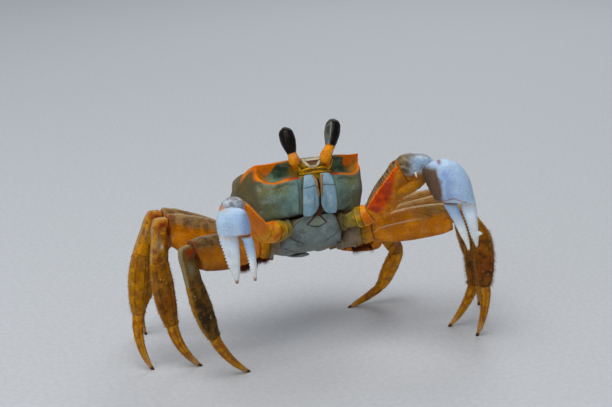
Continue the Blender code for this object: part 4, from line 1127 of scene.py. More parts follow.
# ----------------------------------------------------------------------------
# walking legs
# ----------------------------------------------------------------------------
LEG_COXA = {2: (12.0, -6.0, -15.5), 3: (12.5, 0.0, -16.0), 4: (12.0, 6.0, -15.0), 5: (10.0, 11.2, -12.6)}
LEG_LENGTH = {2: (35.2, 10.5, 18.2, 18.1), 3: (37.6, 12.0, 19.5, 16.9),
              4: (38.8, 12.1, 17.9, 18.0), 5: (28.5, 9.6, 14.4, 13.8)}
LEG_GIRTH = {2: 1.0, 3: 1.05, 4: 1.0, 5: 0.92}
PROPODUS_BOW, DACTYL_BOW = 0.3, {"R": 1.7, "L": 1.1}
LEG_STANCE = {
    "2_R": (16.1, -6.5, (9.6, -105.3, -107.0, -130.9)),
    "3_R": (-0.4, -4.9, (21.4, -88.9, -97.9, -121.0)),
    "4_R": (1.0, -7.6, (25.0, -69.3, -82.5, -100.5)),
    "5_R": (-24.4, 5.1, (9.7, -51.0, -79.4, -88.8)),
    "2_L": (24.6, 7.8, (13.5, -45.9, -83.1, -95.0)),
    "3_L": (17.6, 7.2, (18.9, -54.5, -85.2, -116.0)),
    "4_L": (3.1, 5.4, (17.7, -38.8, -71.6, -75.6)),
    "5_L": (-7.4, 16.2, (-7.7, -49.4, -104.6, -150.9)),
}
BASE = [(0, 2.1, 1.7), (0.25, 3.2, 2.3), (0.6, 3.5, 2.4), (1, 3.1, 2.25)]
MERUS = [(0, 3.2, 2.25, 0), (0.25, 4.9, 2.5, 0.2), (0.55, 5.4, 2.45, 0.5), (0.85, 5.1, 2.35, 0.9), (1, 4.4, 2.2, 1.0)]
CARPUS = {"open": [(0, 3.1, 2.1, 0), (0.3, 3.0, 2.15, 0), (0.65, 2.9, 2.1, 0), (1, 2.6, 1.9, 0)],
          "folded": [(0, 2.4, 2.1, 0.3), (0.3, 2.35, 2.15, 0.45), (0.65, 2.5, 2.1, 0.3), (1, 2.6, 1.9, 0)]}
PROPODUS = [(0, 2.65, 1.95, 0), (0.35, 3.05, 2.1, 0), (0.7, 2.75, 1.95, 0), (1, 1.95, 1.6, 0)]
DACTYL = [(0, 1.7, 1.45), (0.2, 1.55, 1.3), (0.5, 1.2, 1.05), (0.8, 0.8, 0.75), (1, 0.5, 0.5)]
KNEE_TRIM, KNEE_CORNER, KNEE_REACH = 2.6, 0.30, 3.0


class Bend:
    """A knee: where its curve starts, how far a folded merus is cut back, and how the carpus is
    drawn to a corner outside and held short of the curve's centre inside."""

    def __init__(self, pts, trim, k):
        d0, d1 = unit(pts[1] - pts[0]), unit(pts[2] - pts[1])
        self.turn = math.acos(float(d0 @ d1))
        self.radius = trim / math.tan(self.turn / 2)
        self.start = float(np.linalg.norm(pts[1] - pts[0])) - trim
        self.end = self.start + self.radius * self.turn
        self.folded = self.turn > math.radians(88)
        self.trim, self.reach = trim, KNEE_REACH * k

    def cut_back(self, height):
        if not self.folded:
            return np.zeros_like(height)
        end = -(self.reach + 0.1) / math.sin(self.turn) - height / math.tan(self.turn)
        return np.maximum(0.0, -self.trim - end)

    def shape(self, ring, centre, outward, s):
        inside = self.start - 0.01 < s < self.end
        angle = min(max((s - self.start) / self.radius, 0.0), self.turn)
        sharp = min(1 / math.cos(angle) if angle < 1.4 else 9.0,
                    1 / math.cos(self.turn - angle) if self.turn - angle < 1.4 else 9.0)
        v = (ring - centre) @ outward
        w = v.copy()
        if inside:
            out = (v + self.radius) * (1 + KNEE_CORNER * (sharp - 1)) - self.radius
            w = np.where(v > 0, v + (out - v) * np.minimum(1.0, v / 1.5), v)
            limit = self.radius - 0.05
        elif self.folded:
            limit = min(self.reach, self.radius - 0.05 + 0.9 * (s - self.end))
        else:
            limit = 99.0
        w = np.where(v < 0, np.maximum(w, -limit), w)
        return ring + np.outer(w - v, outward)


def scaled(profile, k):
    return [(q[0], *(v * k for v in q[1:])) for q in profile]


def leg_route(key):
    number, side = int(key[0]), (1 if key[2] == "L" else -1)
    x, y, z = LEG_COXA[number]
    start = body((side * x, y, z))
    az, tilt, angles = LEG_STANCE[key]
    az, tilt = math.radians(az), math.radians(tilt)
    out = np.array([side * math.cos(az), -math.sin(az), 0.0])
    fwd = np.array([-side * math.sin(az), -math.cos(az), 0.0])
    up = np.array([0, 0, 1.0]) * math.cos(tilt) + fwd * math.sin(tilt)
    pts = [start]
    for angle, length in zip(angles, LEG_LENGTH[number]):
        a = math.radians(angle)
        pts.append(pts[-1] + (out * math.cos(a) + up * math.sin(a)) * length)
    pts[-1][2] = 0.0
    trim = KNEE_TRIM * (0.8 if number == 5 else 1.0)
    route = Route(pts, (trim, 1.8, 2.2), np.cross(out, up))
    bend = Bend(pts, trim, LEG_GIRTH[number])

    def arc_of(p):
        return float(route.s[np.argmin(np.linalg.norm(route.p - p, axis=1))])
    cp, pd = arc_of(pts[2]), arc_of(pts[3])
    outward = np.array([float(side), 0.0, 0.0])
    route.bow(cp, pd, PROPODUS_BOW, outward)
    route.bow(pd, route.length, DACTYL_BOW[key[2]], outward)
    return route, bend, cp, pd


def leg(key):
    number, side = int(key[0]), (1 if key[2] == "L" else -1)
    seed = number * 10 + (0 if side > 0 else 5)
    route, bend, cp, pd = leg_route(key)
    knee = bend.start
    k = LEG_GIRTH[number]
    base_len = 8.0 if number != 5 else 6.4
    dark = {"2_R": 0.75, "3_R": 0.45, "4_R": 0.05, "5_R": 0.2, "2_L": 0.65, "3_L": 0.55, "4_L": 0.45, "5_L": 0.0}[key]
    skin_tint = rgb(120, 70, 26)

    def frontness(sd):
        return sd * side            # the section axis points forward on left legs only

    # coxa and ischium
    p = Piece("leg%s_coxa_shell" % key, "arm")
    g, f, u, sd, _ = loft(route, 1.8 + 0.15, base_len - 0.15, scaled(BASE, min(k, 1.0) * (0.88 if number == 5 else 1.0)),
                          0.16, 2.4, (0, 0.6), wall=side * (STERNUM_HALF + GAP))
    n = normals(g)
    cut = ridge(f, 0.42 + 0.04 * u, 0.022)
    g = g + n * (-0.20 * cut + 0.08 * ridge(f, 0.30, 0.06) + 0.10 * (fbm(g, 1.8, 3, seed) - 0.5))[..., None]
    m = fbm(g, 1.6, 3, seed + 1)
    col = mix(rgb(168, 122, 24), rgb(122, 94, 28), ease(0.35, 0.65, m))
    col = mix(col, AMBER, 0.7 * ease(0.45, 0.9, f))
    string = (0.5 + 0.5 * np.cos(9 * np.arctan2(sd, u) + 3 * m)) ** 2
    col = mix(col, rgb(108, 68, 12), 0.45 * string * ease(0.4, 0.6, fbm(g, 2.0, 2, seed + 19)))
    if number in (2, 3):
        col = mix(col, mix(rgb(150, 134, 112), rgb(112, 98, 84), m), 0.92 * (1 - ease(0.22, 0.44, f + 0.2 * (m - 0.5))))
    else:
        col = mix(col, rgb(124, 104, 74), 0.65 * (1 - ease(0.0, 0.3, f)))
    col = mix(col, rgb(62, 40, 20), 0.85 * cut)
    p.tube(g, col)
    membrane(p, route, base_len, 0.9, 2.6 * k, 1.9 * k, skin_tint)
    p.finish(replaces=("leg%s_base" % key,))

    # merus: broad flat blade, rugose above, amber below
    p = Piece("leg%s_merus_shell" % key, "merus")
    prof = scaled(MERUS, k)
    g, f, u, sd, _ = loft(route, base_len + 0.05, knee - 0.05, prof, 0.155, 2.5, (1.0, 0.7), 0.10, slant=bend)
    n = normals(g)
    fr = frontness(sd)
    length = knee - base_len
    along = f * length
    upper = ease(0.25, 0.75, u)
    # short cross ripples on the upper part, broken up
    wob = 5.2 * u + 0.16 * along + 2.6 * fbm(g * np.array((0.45, 0.45, 1.0)), 2.2, 2, seed + 2)
    ripple = (0.5 + 0.5 * np.cos(2 * np.pi * wob / 0.92)) ** 2 * ease(0.30, 0.55, fbm(g, 2.2, 2, seed + 3) + 0.12)
    teeth = np.clip(np.cos(2 * np.pi * (along + 0.8 * noise(g, 2.0, seed + 3)) / 1.1), 0, 1) ** 2 * noise(g, 1.3, seed + 8)
    top_edge = ease(0.965, 1.0, u)
    low_edge = ease(-0.955, -0.995, u)
    vein = ridge(u, 0.40 - 0.25 * ease(0.1, 0.0, f), 0.035)
    d = 0.055 * ripple * upper + 0.12 * teeth * top_edge + 0.12 * teeth * low_edge * ease(0.3, 0.6, f)
    d = d + 0.07 * vein + 0.05 * granules(g, 0.55, seed, 0.7) * (0.35 + 0.65 * upper) + 0.10 * (fbm(g, 3.0, 2, seed + 4) - 0.5)
    g = g + n * d[..., None]
    m = fbm(g, 1.7, 4, seed + 5)
    w = fbm(g, 4.5, 2, seed + 6)
    amber = mix(AMBER, rgb(198, 114, 2), ease(0.35, 0.65, w))
    amber = mix(amber, rgb(232, 146, 10), 0.45 * ease(0.58, 0.72, m))
    amber = mix(amber, rgb(150, 78, 2), 0.55 * ease(-0.35, -0.85, u) * ease(0.3, 0.6, m))
    band = ease(0.16, 0.60, u + 0.34 * (m - 0.5) - 0.25 * ease(0.30, 0.0, f))
    band = band * (0.45 + 0.55 * ease(0.2, 0.5, f))
    if key == "2_L":
        band = band * (0.35 + 0.65 * ease(0.45, 0.8, f))
    sand = mix(rgb(142, 118, 78), rgb(96, 76, 44), ease(0.40, 0.62, m))
    if side > 0:
        sand = mix(sand, rgb(140, 94, 24), 0.70)
    sand = mix(sand, rgb(168, 148, 108), 0.18 * ripple)
    sand = mix(sand, rgb(60, 42, 22), 0.45 * ease(0.55, 0.9, 1 - ripple) * ease(0.42, 0.6, fbm(g, 1.8, 2, seed + 18)) * ridge((wob / 0.92) % 1.0, 0.5, 0.16))
    col = mix(amber, sand, 0.9 * band)
    col = mix(col, rgb(108, 62, 14), 0.45 * ridge(u, 0.18, 0.14) * ease(0.45, 0.65, m) * ease(0.4, 0.8, f))
    col = mix(col, rgb(206, 192, 152), (0.65 if key == "2_L" else 0.30) * ease(0.93, 0.99, u) * (0.5 + 0.5 * ease(0.4, 0.6, m)))
    if key == "2_R":
        col = col * (1 - 0.40 * ease(0.10, 0.6, f))[..., None]
    col = mix(col, PALE, 0.50 * vein * ease(0.75, 0.4, f) * (side > 0))
    col = mix(col, rgb(132, 48, 10), 0.55 * ease(0.93, 1.0, f) * ease(0.35, 0.6, m))
    col = mix(col, rgb(120, 60, 10), 0.45 * ease(0.06, 0.0, f))
    spots, own = cells(g, 1.5, seed + 7)
    col = mix(col, rgb(60, 34, 12), 0.8 * (1 - ease(0.06, 0.14, spots)) * (own > 0.72) * (fr > 0))
    p.tube(g, col)
    membrane(p, route, knee, 0.8, min(2.2 * k, bend.radius * 0.95), 1.9 * k, rgb(126, 54, 14))
    p.finish(replaces=("leg%s_merus" % key,))

    # carpus
    p = Piece("leg%s_carpus_shell" % key, "merus")
    g, f, u, sd, _ = loft(route, knee + 0.05, cp - 0.03, scaled(CARPUS["folded" if bend.folded else "open"], k),
                          0.155, 2.4, (0.8, 0.4), 0.10, bend=bend)
    n = normals(g)
    fr = frontness(sd)
    along = f * (cp - knee)
    outer = ease(0.1, 0.6, u)
    rug = (0.5 + 0.5 * np.cos(2 * np.pi * (along + 1.2 * fbm(g, 1.6, 2, seed + 8)) / 0.85)) ** 2
    keels = ridge(u, 0.45, 0.10) + ridge(u, -0.30, 0.10)
    d = 0.07 * rug * outer + 0.12 * keels * ease(0.15, 0.4, f) * (1 - ease(0.8, 1.0, f)) + 0.06 * granules(g, 0.5, seed + 2, 0.8)
    d = d + 0.12 * (fbm(g, 2.2, 2, seed + 9) - 0.5)
    knob = np.exp(-(((f - 0.06) / 0.06) ** 2 + ((u - 0.25) / 0.35) ** 2)) * (fr > 0)
    g = g + n * (d + 0.22 * knob)[..., None]
    m = fbm(g, 1.4, 4, seed + 10)
    col = mix(OCHRE, rgb(150, 84, 8), ease(0.40, 0.62, m))
    col = mix(col, rgb(84, 48, 10), (0.25 + 0.5 * dark) * ease(0.42, 0.66, fbm(g, 2.6, 3, seed + 11)))
    if key == "2_R":
        col = mix(col, mix(rgb(92, 70, 24), rgb(54, 42, 20), m), 0.85)
    patch = np.exp(-(((f - 0.52) / 0.16) ** 2 + ((u - 0.35) / 0.30) ** 2)) * (fr > 0)
    grey = rgb(142, 122, 92) if key != "2_R" else rgb(112, 108, 84)
    col = mix(col, grey, np.clip((0.95 if number in (2, 3) else 0.5) * patch, 0, 1))
    col = mix(col, rgb(176, 160, 116), 0.45 * ease(0.80, 0.97, u))
    red = 1.2 * np.exp(-(((f - 0.10) / 0.09) ** 2 + ((u - 0.35) / 0.30) ** 2)) + 0.8 * np.exp(-(((f - 0.20) / 0.04) ** 2 + ((u + 0.1) / 0.2) ** 2))
    col = mix(col, RUST, np.clip(0.95 * red * (fr > -0.2), 0, 1))
    dots = np.exp(-(((f - 0.60) / 0.05) ** 2 + ((u - 0.0) / 0.13) ** 2)) * (fr > 0)
    col = mix(col, PALE, 0.75 * dots * (number in (3,)))
    p.tube(g, col)
    membrane(p, route, cp, 0.8, 2.4 * k, 1.8 * k, rgb(140, 86, 24))
    p.finish(replaces=("leg%s_carpus" % key,))

    # propodus: flattened, rough, dark and mottled, with bristle lines
    p = Piece("leg%s_propodus_shell" % key, "distal")
    g, f, u, sd, tang = loft(route, cp + 0.03, pd - 0.05, scaled(PROPODUS, k), 0.14, 2.6, (0.4, 0.5), 0.08, keel=0.03)
    n = normals(g)
    fr = frontness(sd)
    along = f * (pd - cp)
    rough = granules(g, 0.50, seed + 3, 0.85)
    grooves = ridge(u, 0.52, 0.07) + ridge(u, -0.42, 0.07)
    teeth = np.clip(np.cos(2 * np.pi * along / 1.15), 0, 1) ** 2
    d = 0.085 * rough - 0.10 * grooves * (1 - ease(0.85, 1.0, f)) + 0.13 * (fbm(g, 2.0, 3, seed + 12) - 0.5)
    d = d + 0.20 * teeth * (ease(0.955, 0.995, u) + ease(-0.955, -0.995, u))
    g = g + n * d[..., None]
    prop_g, prop_n, prop_u, prop_f, prop_fr = g, n, u, f, fr
    m = fbm(g, 1.3, 4, seed + 13)
    w = fbm(g, 3.2, 3, seed + 14)
    light = mix(rgb(176, 120, 8), rgb(150, 94, 4), ease(0.4, 0.6, m))
    if key == "5_L":
        light = mix(rgb(226, 150, 22), rgb(196, 124, 12), ease(0.4, 0.6, m))
    deep = mix(rgb(126, 62, 4), rgb(76, 42, 8), ease(0.40, 0.62, m))
    if key in ("2_R",):
        deep = mix(rgb(94, 66, 20), rgb(50, 34, 12), ease(0.38, 0.62, m))
    amount = np.clip(dark * 1.15 + 0.35 * (w - 0.5) - 0.35 * ease(0.70, 0.98, np.abs(u)), 0, 1)
    amount = np.clip(amount + (0.30 * ridge(f, 0.62, 0.22) if dark > 0.3 else 0.0), 0, 1)
    col = mix(light, deep, amount)
    col = mix(col, rgb(58, 34, 12), 0.35 * grooves)
    spots, own = cells(g, 1.35, seed + 15)
    col = mix(col, rgb(206, 176, 110), 0.8 * (1 - ease(0.08, 0.20, spots)) * (own > (0.62 if number in (3, 2) else 0.85)))
    col = mix(col, rgb(190, 128, 30), 0.6 * ease(0.90, 0.99, np.abs(u)))
    p.tube(g, col)
    membrane(p, route, pd, 0.7, 1.65 * k, 1.35 * k, rgb(120, 66, 18))
    p.finish(replaces=("leg%s_propodus" % key,))

    # dactyl: fluted spike with a dark horny tip
    p = Piece("leg%s_dactyl_shell" % key, "distal")
    g, f, u, sd, tang = loft(route, pd - 0.15, route.length, scaled(DACTYL, k), 0.12, 2.3, (0.5, 0.0), flat_tip=True)
    n = normals(g)
    ang = np.arctan2(sd, u)
    flute = np.cos(6 * ang)
    fade = (1 - ease(0.80, 0.96, f)) * ease(0.02, 0.12, f)
    d = 0.085 * flute * fade + 0.05 * granules(g, 0.42, seed + 4, 0.6) * fade + 0.06 * (fbm(g, 1.4, 3, seed + 16) - 0.5) * fade
    low = g[..., 2] < 0.35
    g = g + n * np.where(low, 0.0, d)[..., None]
    g[..., 2] = np.maximum(g[..., 2], 0.0)
    m = fbm(g, 1.2, 4, seed + 17)
    col = mix(OCHRE, rgb(158, 92, 10), ease(0.4, 0.62, m))
    col = mix(col, rgb(116, 64, 12), 0.55 * ease(0.35, 0.9, -flute) * (0.5 + 0.5 * dark))
    col = mix(col, rgb(204, 160, 96), 0.50 * ease(0.62, 0.86, f))
    col = mix(col, rgb(70, 30, 12), 0.95 * ease(0.905, 0.955, f + 0.03 * (m - 0.5)))
    p.tube(g, col)
    p.finish(replaces=("leg%s_dactyl" % key,))
    dact = (g, n, u, f, frontness(sd))

    # bristles: fringes along the edges of propodus and dactyl
    p = Piece("leg%s_bristles" % key, "hair")
    rng = np.random.default_rng(seed)
    total = 0
    tile = ((number - 2) + (4 if side > 0 else 0)) / 8.0
    for (g, n, u, f, fr), band, density, size in (
            ((prop_g, prop_n, prop_u, prop_f, prop_fr), (0.86, 1.0), 420 if side > 0 else 260,
             (0.6, 1.3) if key in ("2_L", "3_L") else (0.35, 0.8)),
            (dact, (0.30, 1.0), 380, (0.2, 0.5))):
        r, c = g.shape[:2]
        count = int(density * (1.0))
        ri = rng.integers(2, int(r * (0.97 if density != 380 else 0.86)), count * 4)
        ci = rng.integers(0, c, count * 4)
        edge = np.abs(u[ri, ci])
        keep = (edge > band[0]) & (g[ri, ci, 2] > 0.8)
        ri, ci = ri[keep][:count], ci[keep][:count]
        root = g[ri, ci]
        nn = n[ri, ci]
        along_t = unit(g[-1].mean(0) - g[0].mean(0))
        way = nn * 0.75 + along_t * 0.65 + 0.25 * rng.normal(size=nn.shape)
        length = rng.uniform(size[0], size[1], len(root)) * (0.8 + 0.5 * np.abs(u[ri, ci]))
        tone = mix(rgb(176, 140, 80), rgb(96, 60, 26), rng.uniform(0, 1, len(root)))
        uv = np.stack([tile + (0.0 if density != 380 else 0.06) + 0.055 * ci / c, 0.02 + 0.96 * ri / r], -1)
        # keep clear of the floor
        length = np.minimum(length, np.maximum(0.1, root[:, 2] - 0.2))
        hair_tufts(p, root, way, length, 0.045, tone, uv, droop=0.12, seed=seed + total)
        total += len(root)
    p.finish()


# ----------------------------------------------------------------------------
# claws
# ----------------------------------------------------------------------------
HAND_L = {
    "at": (28.64, -36.9, 63.2),
    "palm": [(0.0, -0.6, 2.6, 1.9), (1.2, -3.6, 5.0, 2.9), (3.5, -5.4, 7.2, 3.6), (5.9, -4.7, 8.6, 3.9),
             (8.3, -3.5, 9.3, 3.9), (10.6, -2.3, 9.9, 3.6), (12.3, -0.9, 10.4, 3.2)],
    "finger": [(12.5, 6.0, 10.5, 2.6), (13.6, 6.2, 10.7, 2.1), (16.3, 7.1, 11.1, 1.8), (20.1, 8.6, 11.5, 1.45),
               (21.7, 9.1, 11.7, 1.3), (22.5, 9.4, 12.9, 1.2), (23.3, 9.7, 11.9, 1.1), (26.8, 11.0, 11.8, 0.45)],
    "dactyl": [(12.9, 1.0, 5.4, 1.9), (15.7, 2.3, 5.9, 1.8), (18.9, 4.2, 7.2, 1.5), (22.8, 6.2, 8.5, 1.1),
               (27.9, 8.6, 9.4, 0.45)],
}
HAND_R = {
    "at": (-39.26, -41.5, 59.74),
    "palm": [(1.6, -2.2, 1.8, 1.8), (2.4, -3.8, 3.0, 2.6), (3.6, -4.5, 3.5, 3.0), (5.2, -4.9, 4.0, 3.2),
             (7.1, -4.7, 4.3, 3.0), (8.5, -4.5, 4.4, 2.7)],
    "finger": [(8.7, -4.4, 1.1, 2.4), (9.8, -4.2, 1.1, 2.1), (13.0, -3.2, 1.3, 1.7), (17.6, -1.8, 1.4, 1.25),
               (20.6, -0.6, 1.3, 0.95), (22.9, 0.1, 0.9, 0.45)],
    "dactyl": [(9.1, 1.7, 4.6, 1.7), (11.4, 2.6, 5.2, 1.6), (15.4, 3.6, 5.8, 1.3), (19.0, 4.4, 6.0, 0.95),
               (22.1, 5.1, 5.9, 0.4)],
}
FACING = math.radians(26.0)
HAND_SIDE = np.array([math.cos(FACING), -math.sin(FACING), 0.0])
HAND_DOWN = np.array([0.0, 0.0, -1.0])
HAND_OUT = np.cross(HAND_SIDE, HAND_DOWN)
ARM_L = [(8.0, -15.3, 41.2), (15.2, -20.4, 44.4), (20.23, -30.4, 62.73), (30.87, -29.55, 57.6)]
ARM_R = [(-9.8, -15.3, 41.2), (-21.8, -21.4, 43.2), (-35.0, -33.6, 56.0), (-40.3, -36.4, 57.0)]
CARPUS_AT = {"L": 1.6, "R": 1.2}
CARPUS_SHAPE = {"L": [(0, 5.45, 2.85, 0.72), (0.12, 5.8, 2.9, 0.6), (0.48, 5.4, 2.9, 0.9), (0.81, 3.9, 2.5, 1.1),
                      (1, 2.2, 1.6, 0.6)],
                "R": [(0, 2.75, 2.5), (0.3, 3.1, 2.5), (0.6, 3.1, 2.4), (0.85, 2.6, 2.0), (1, 1.7, 1.3)]}
COXA_SHAPE = [(0, 2.0, 1.9), (0.25, 3.0, 2.7), (0.6, 3.3, 2.9), (1, 3.0, 2.6)]
ARM_SHAPE = {"L": [(0, 3.3, 2.6, 0.3), (0.25, 4.3, 2.9, 0.8), (0.5, 4.65, 3.0, 0.95), (0.7, 4.5, 2.9, 1.0),
                   (0.82, 4.45, 2.75, 1.1), (1, 5.3, 2.85, 0.78)],
             "R": [(0, 2.8, 2.5), (0.3, 2.8, 2.6), (0.6, 2.8, 2.6), (0.85, 2.75, 2.5), (1, 2.7, 2.45)]}


def hand(side):
    spec = HAND_L if side == "L" else HAND_R
    at = np.array(spec["at"])
    seed = 200 if side == "L" else 260
    flip = 1.0

    def rows(table, size, power, tip=True, lead=0.5):
        table = [(q[0], q[1:]) for q in table]
        d0, d1 = table[0][0], table[-1][0]
        ds = np.linspace(d0, d1, steps(d1 - d0, size, 20))
        ds = np.unique(np.concatenate([ds, [d0 + 0.06, d0 + 0.15, d0 + 0.3, d1 - 0.05, d1 - 0.12, d1 - 0.25]]))
        widest = max(t[1][1] - t[1][0] for t in table)
        around = steps(2.7 * widest, size, 32)
        a = 2 * np.pi * (np.arange(around) + 0.5) / around
        c, sn = np.cos(a), np.sin(a)
        kk = (np.abs(c) ** power + np.abs(sn) ** power) ** (-1.0 / power)
        grid, dd = [], []
        for d in ds:
            left, right, thick = tween(table, d)
            g = 1.0
            if d - d0 < lead:
                g = 0.55 + 0.45 * math.sqrt(max(0.0, 1 - (1 - (d - d0) / lead) ** 2))
            centre = at + HAND_DOWN * d + HAND_SIDE * (0.5 * (left + right))
            grid.append(centre + np.outer(kk * c * 0.5 * (right - left) * g, HAND_SIDE)
                        + np.outer(kk * sn * thick * g, HAND_OUT))
            dd.append(np.full(around, d))
        g = np.array(grid)
        dd = np.array(dd)
        u = np.broadcast_to(c, dd.shape)
        o = np.broadcast_to(sn, dd.shape)
        return g, dd, u, o

    last = spec["palm"][-1][0]
    # palm with the fixed finger
    p = Piece("claw_%s_palm_shell" % side, "claw")
    g, d, u, o = rows(spec["palm"] + spec["finger"], 0.14, 2.35)
    n = normals(g)
    across = (g - at) @ HAND_SIDE
    on_palm = 1 - ease(last - 0.6, last + 0.4, d)
    grain = granules(g, 0.72, seed)
    small = granules(g, 0.42, seed + 1, 0.8)
    edge = ease(0.93, 0.99, np.abs(u))
    teeth = np.clip(np.cos(2 * np.pi * d / 0.95), 0, 1) ** 1.6
    bite = ease(-0.80, -0.97, u) * (1 - on_palm) * ease(last + 1.2, last + 2.2, d)
    end = spec["finger"][-1][0]
    bite = bite * (1 - ease(end - 2.5, end - 0.6, d))
    groove = ridge(u, -0.05, 0.10) * (1 - on_palm) * (1 - ease(end - 3, end, d))
    bump = 0.07 * grain * on_palm * (0.5 + 0.5 * edge + 0.4 * ease(0.0, -0.7, u)) + 0.05 * small * on_palm
    bump = bump + 0.13 * teeth * edge * on_palm + 0.30 * teeth * bite - 0.09 * groove + 0.15 * (fbm(g, 3.2, 2, seed + 2) - 0.5)
    g = g + n * bump[..., None]
    m = fbm(g, 1.8, 4, seed + 3)
    w = fbm(g, 4.2, 2, seed + 4)
    front = ease(0.1, -0.4, o)                       # the side that faces the camera
    col = mix(ICE, rgb(176, 204, 232), ease(0.35, 0.65, w))
    col = mix(col, WHITE, 0.30 * grain * on_palm)
    col = mix(col, WHITE, 0.75 * ease(last - (4.5 if side == "R" else 1.5), last + 5.0, d))
    col = mix(col, rgb(226, 222, 204), 0.5 * ease(last + 3, end, d))
    if side == "L":
        # painted shade on the palm's inner third: a dark brown that is partly the shell's own colour and partly painted
        # shade, grading out through purple-grey
        lean = across - 0.26 * (d - 7) + 2.2 * (m - 0.5)
        shade = ease(0.9, -1.1, lean) * ease(0.6, 2.6, d + 0.6 * (m - 0.5)) * on_palm
        brown_and_shade = mix(rgb(112, 98, 104), rgb(96, 62, 24), ease(0.6, -1.0, lean))
        brown_and_shade = mix(brown_and_shade, rgb(74, 46, 10), ease(-2.0, -4.2, across))
        brown_and_shade = mix(brown_and_shade, rgb(150, 112, 50), 0.55 * small * ease(0.4, 0.7, m + 0.2))
        # painted blue-grey half-shade in a band beside the brown
        col = mix(col, rgb(112, 134, 196), 0.55 * ridge(lean, 2.0, 1.5) * ease(1.2, 3.2, d) * on_palm)
        col = mix(col, brown_and_shade, 0.96 * shade)
        roof = np.clip(1 - np.abs(across - 3.6) / 4.2, 0, 1)
        hinge = ridge(d, last + 0.05 - 1.5 * roof, 0.26) * ease(-1.2, -0.6, across) * (1 - ease(7.4, 8.0, across))
        col = mix(col, rgb(156, 92, 34), 0.85 * hinge * front)
        under_hinge = ease(last - 1.4 * roof, last + 0.1 - 1.4 * roof, d) * (1 - ease(6.6, 7.4, across)) * on_palm * (across > -0.8)
        col = mix(col, rgb(190, 212, 232), 0.6 * under_hinge)
        red = np.exp(-((d - 0.35) ** 2 + (across + 0.7) ** 2) / 0.22)
        col = mix(col, rgb(140, 52, 34), np.clip(red, 0, 0.9))
    else:
        col = mix(col, rgb(112, 146, 200), 0.60 * ease(0.8, 3.4, across) * on_palm)
        col = mix(col, rgb(186, 208, 222), 0.5 * ease(-1.5, -4.0, across) * on_palm)
        hinge = ridge(d, last - 0.05, 0.32) * ease(0.6, 1.6, across)
        col = mix(col, rgb(186, 120, 56), 0.75 * hinge)
        col = mix(col, rgb(186, 168, 148), 0.45 * ridge(d, 1.9, 0.45) * ease(-0.5, -2.0, across))
    col = mix(col, rgb(226, 206, 176), 0.4 * ridge(d, last + 0.9, 0.8) * (1 - on_palm))
    col = mix(col, rgb(150, 92, 40), 0.9 * ease(end - (0.9 if side == "L" else 1.5), end - (0.1 if side == "L" else 0.5), d))
    p.tube(g, col)
    p.finish(replaces=("claw_%s_palm" % side,))

    # movable finger
    p = Piece("claw_%s_finger_shell" % side, "claw")
    g, d, u, o = rows(spec["dactyl"], 0.12, 2.2, lead=0.8)
    n = normals(g)
    d0, end = spec["dactyl"][0][0], spec["dactyl"][-1][0]
    bite = ease(0.80, 0.97, u) * ease(d0 + 1.6, d0 + 2.6, d) * (1 - ease(end - 2.5, end - 0.6, d))
    if side == "R":
        bite = ease(-0.80, -0.97, u) * ease(d0 + 1.6, d0 + 2.6, d) * (1 - ease(end - 2.5, end - 0.6, d))
    groove = (ridge(u, 0.25, 0.10) + ridge(u, -0.35, 0.10)) * ease(d0 + 1, d0 + 2, d) * (1 - ease(end - 4, end - 1, d))
    grain = granules(g, 0.5, seed + 8, 0.8)
    teeth = np.clip(np.cos(2 * np.pi * (d + 0.4) / 0.9), 0, 1) ** 1.6
    top = 1 - ease(d0 + 1.0, d0 + 5.0, d)
    g = g + n * (0.28 * teeth * bite - 0.08 * groove + 0.07 * grain * top + 0.08 * (fbm(g, 2.0, 2, seed + 9) - 0.5))[..., None]
    m = fbm(g, 1.5, 3, seed + 10)
    col = mix(ICE, WHITE, ease(d0 + 2, d0 + 9, d))
    col = mix(col, rgb(170, 200, 230), 0.4 * ease(0.5, 0.7, m) * top)
    col = mix(col, rgb(228, 224, 206), 0.5 * ease(end - 7, end - 1, d))
    col = mix(col, rgb(176, 116, 56), 0.75 * (1 - ease(d0 + 0.1, d0 + 0.8, d)))
    col = mix(col, rgb(150, 92, 40), 0.9 * ease(end - (0.8 if side == "L" else 1.5), end - 0.3, d))
    p.tube(g, col)
    # hinge skin between palm and finger
    mid = at + HAND_DOWN * (last + 0.15) + HAND_SIDE * (0.5 * (spec["dactyl"][0][1] + spec["dactyl"][0][2]))
    rr = 0.40 * (spec["dactyl"][0][2] - spec["dactyl"][0][1])
    an = 2 * np.pi * np.arange(32) / 32
    sk = np.array([mid + HAND_DOWN * (v - 0.9) + np.outer(np.cos(an) * rr * (1 + 0.05 * math.cos(6 * v)), HAND_SIDE)
                   + np.outer(np.sin(an) * 1.35, HAND_OUT) for v in np.linspace(0, 1.8, 12)])
    p.tube(sk, np.broadcast_to(rgb(150, 84, 34), sk.shape) * (0.8 + 0.4 * noise(sk, 0.6, 4))[..., None])
    p.finish(replaces=("claw_%s_dactyl" % side,))


def tooth_row(piece, roots, ways, heights, radius, tint):
    """Blunt conical teeth."""
    for root, way, h, c in zip(roots, ways, heights, tint):
        way = unit(way)
        a = unit(np.cross(way, (0.31, 0.42, 0.85)))
        b = np.cross(way, a)
        an = 2 * np.pi * np.arange(12) / 12
        rows = []
        for f in np.linspace(0, 1, 7):
            r = radius * (1 - f**1.7) + 0.03
            rows.append(root + way * (h * (f - 0.15)) + np.outer(np.cos(an) * r, a) + np.outer(np.sin(an) * r, b))
        piece.tube(np.array(rows), c)


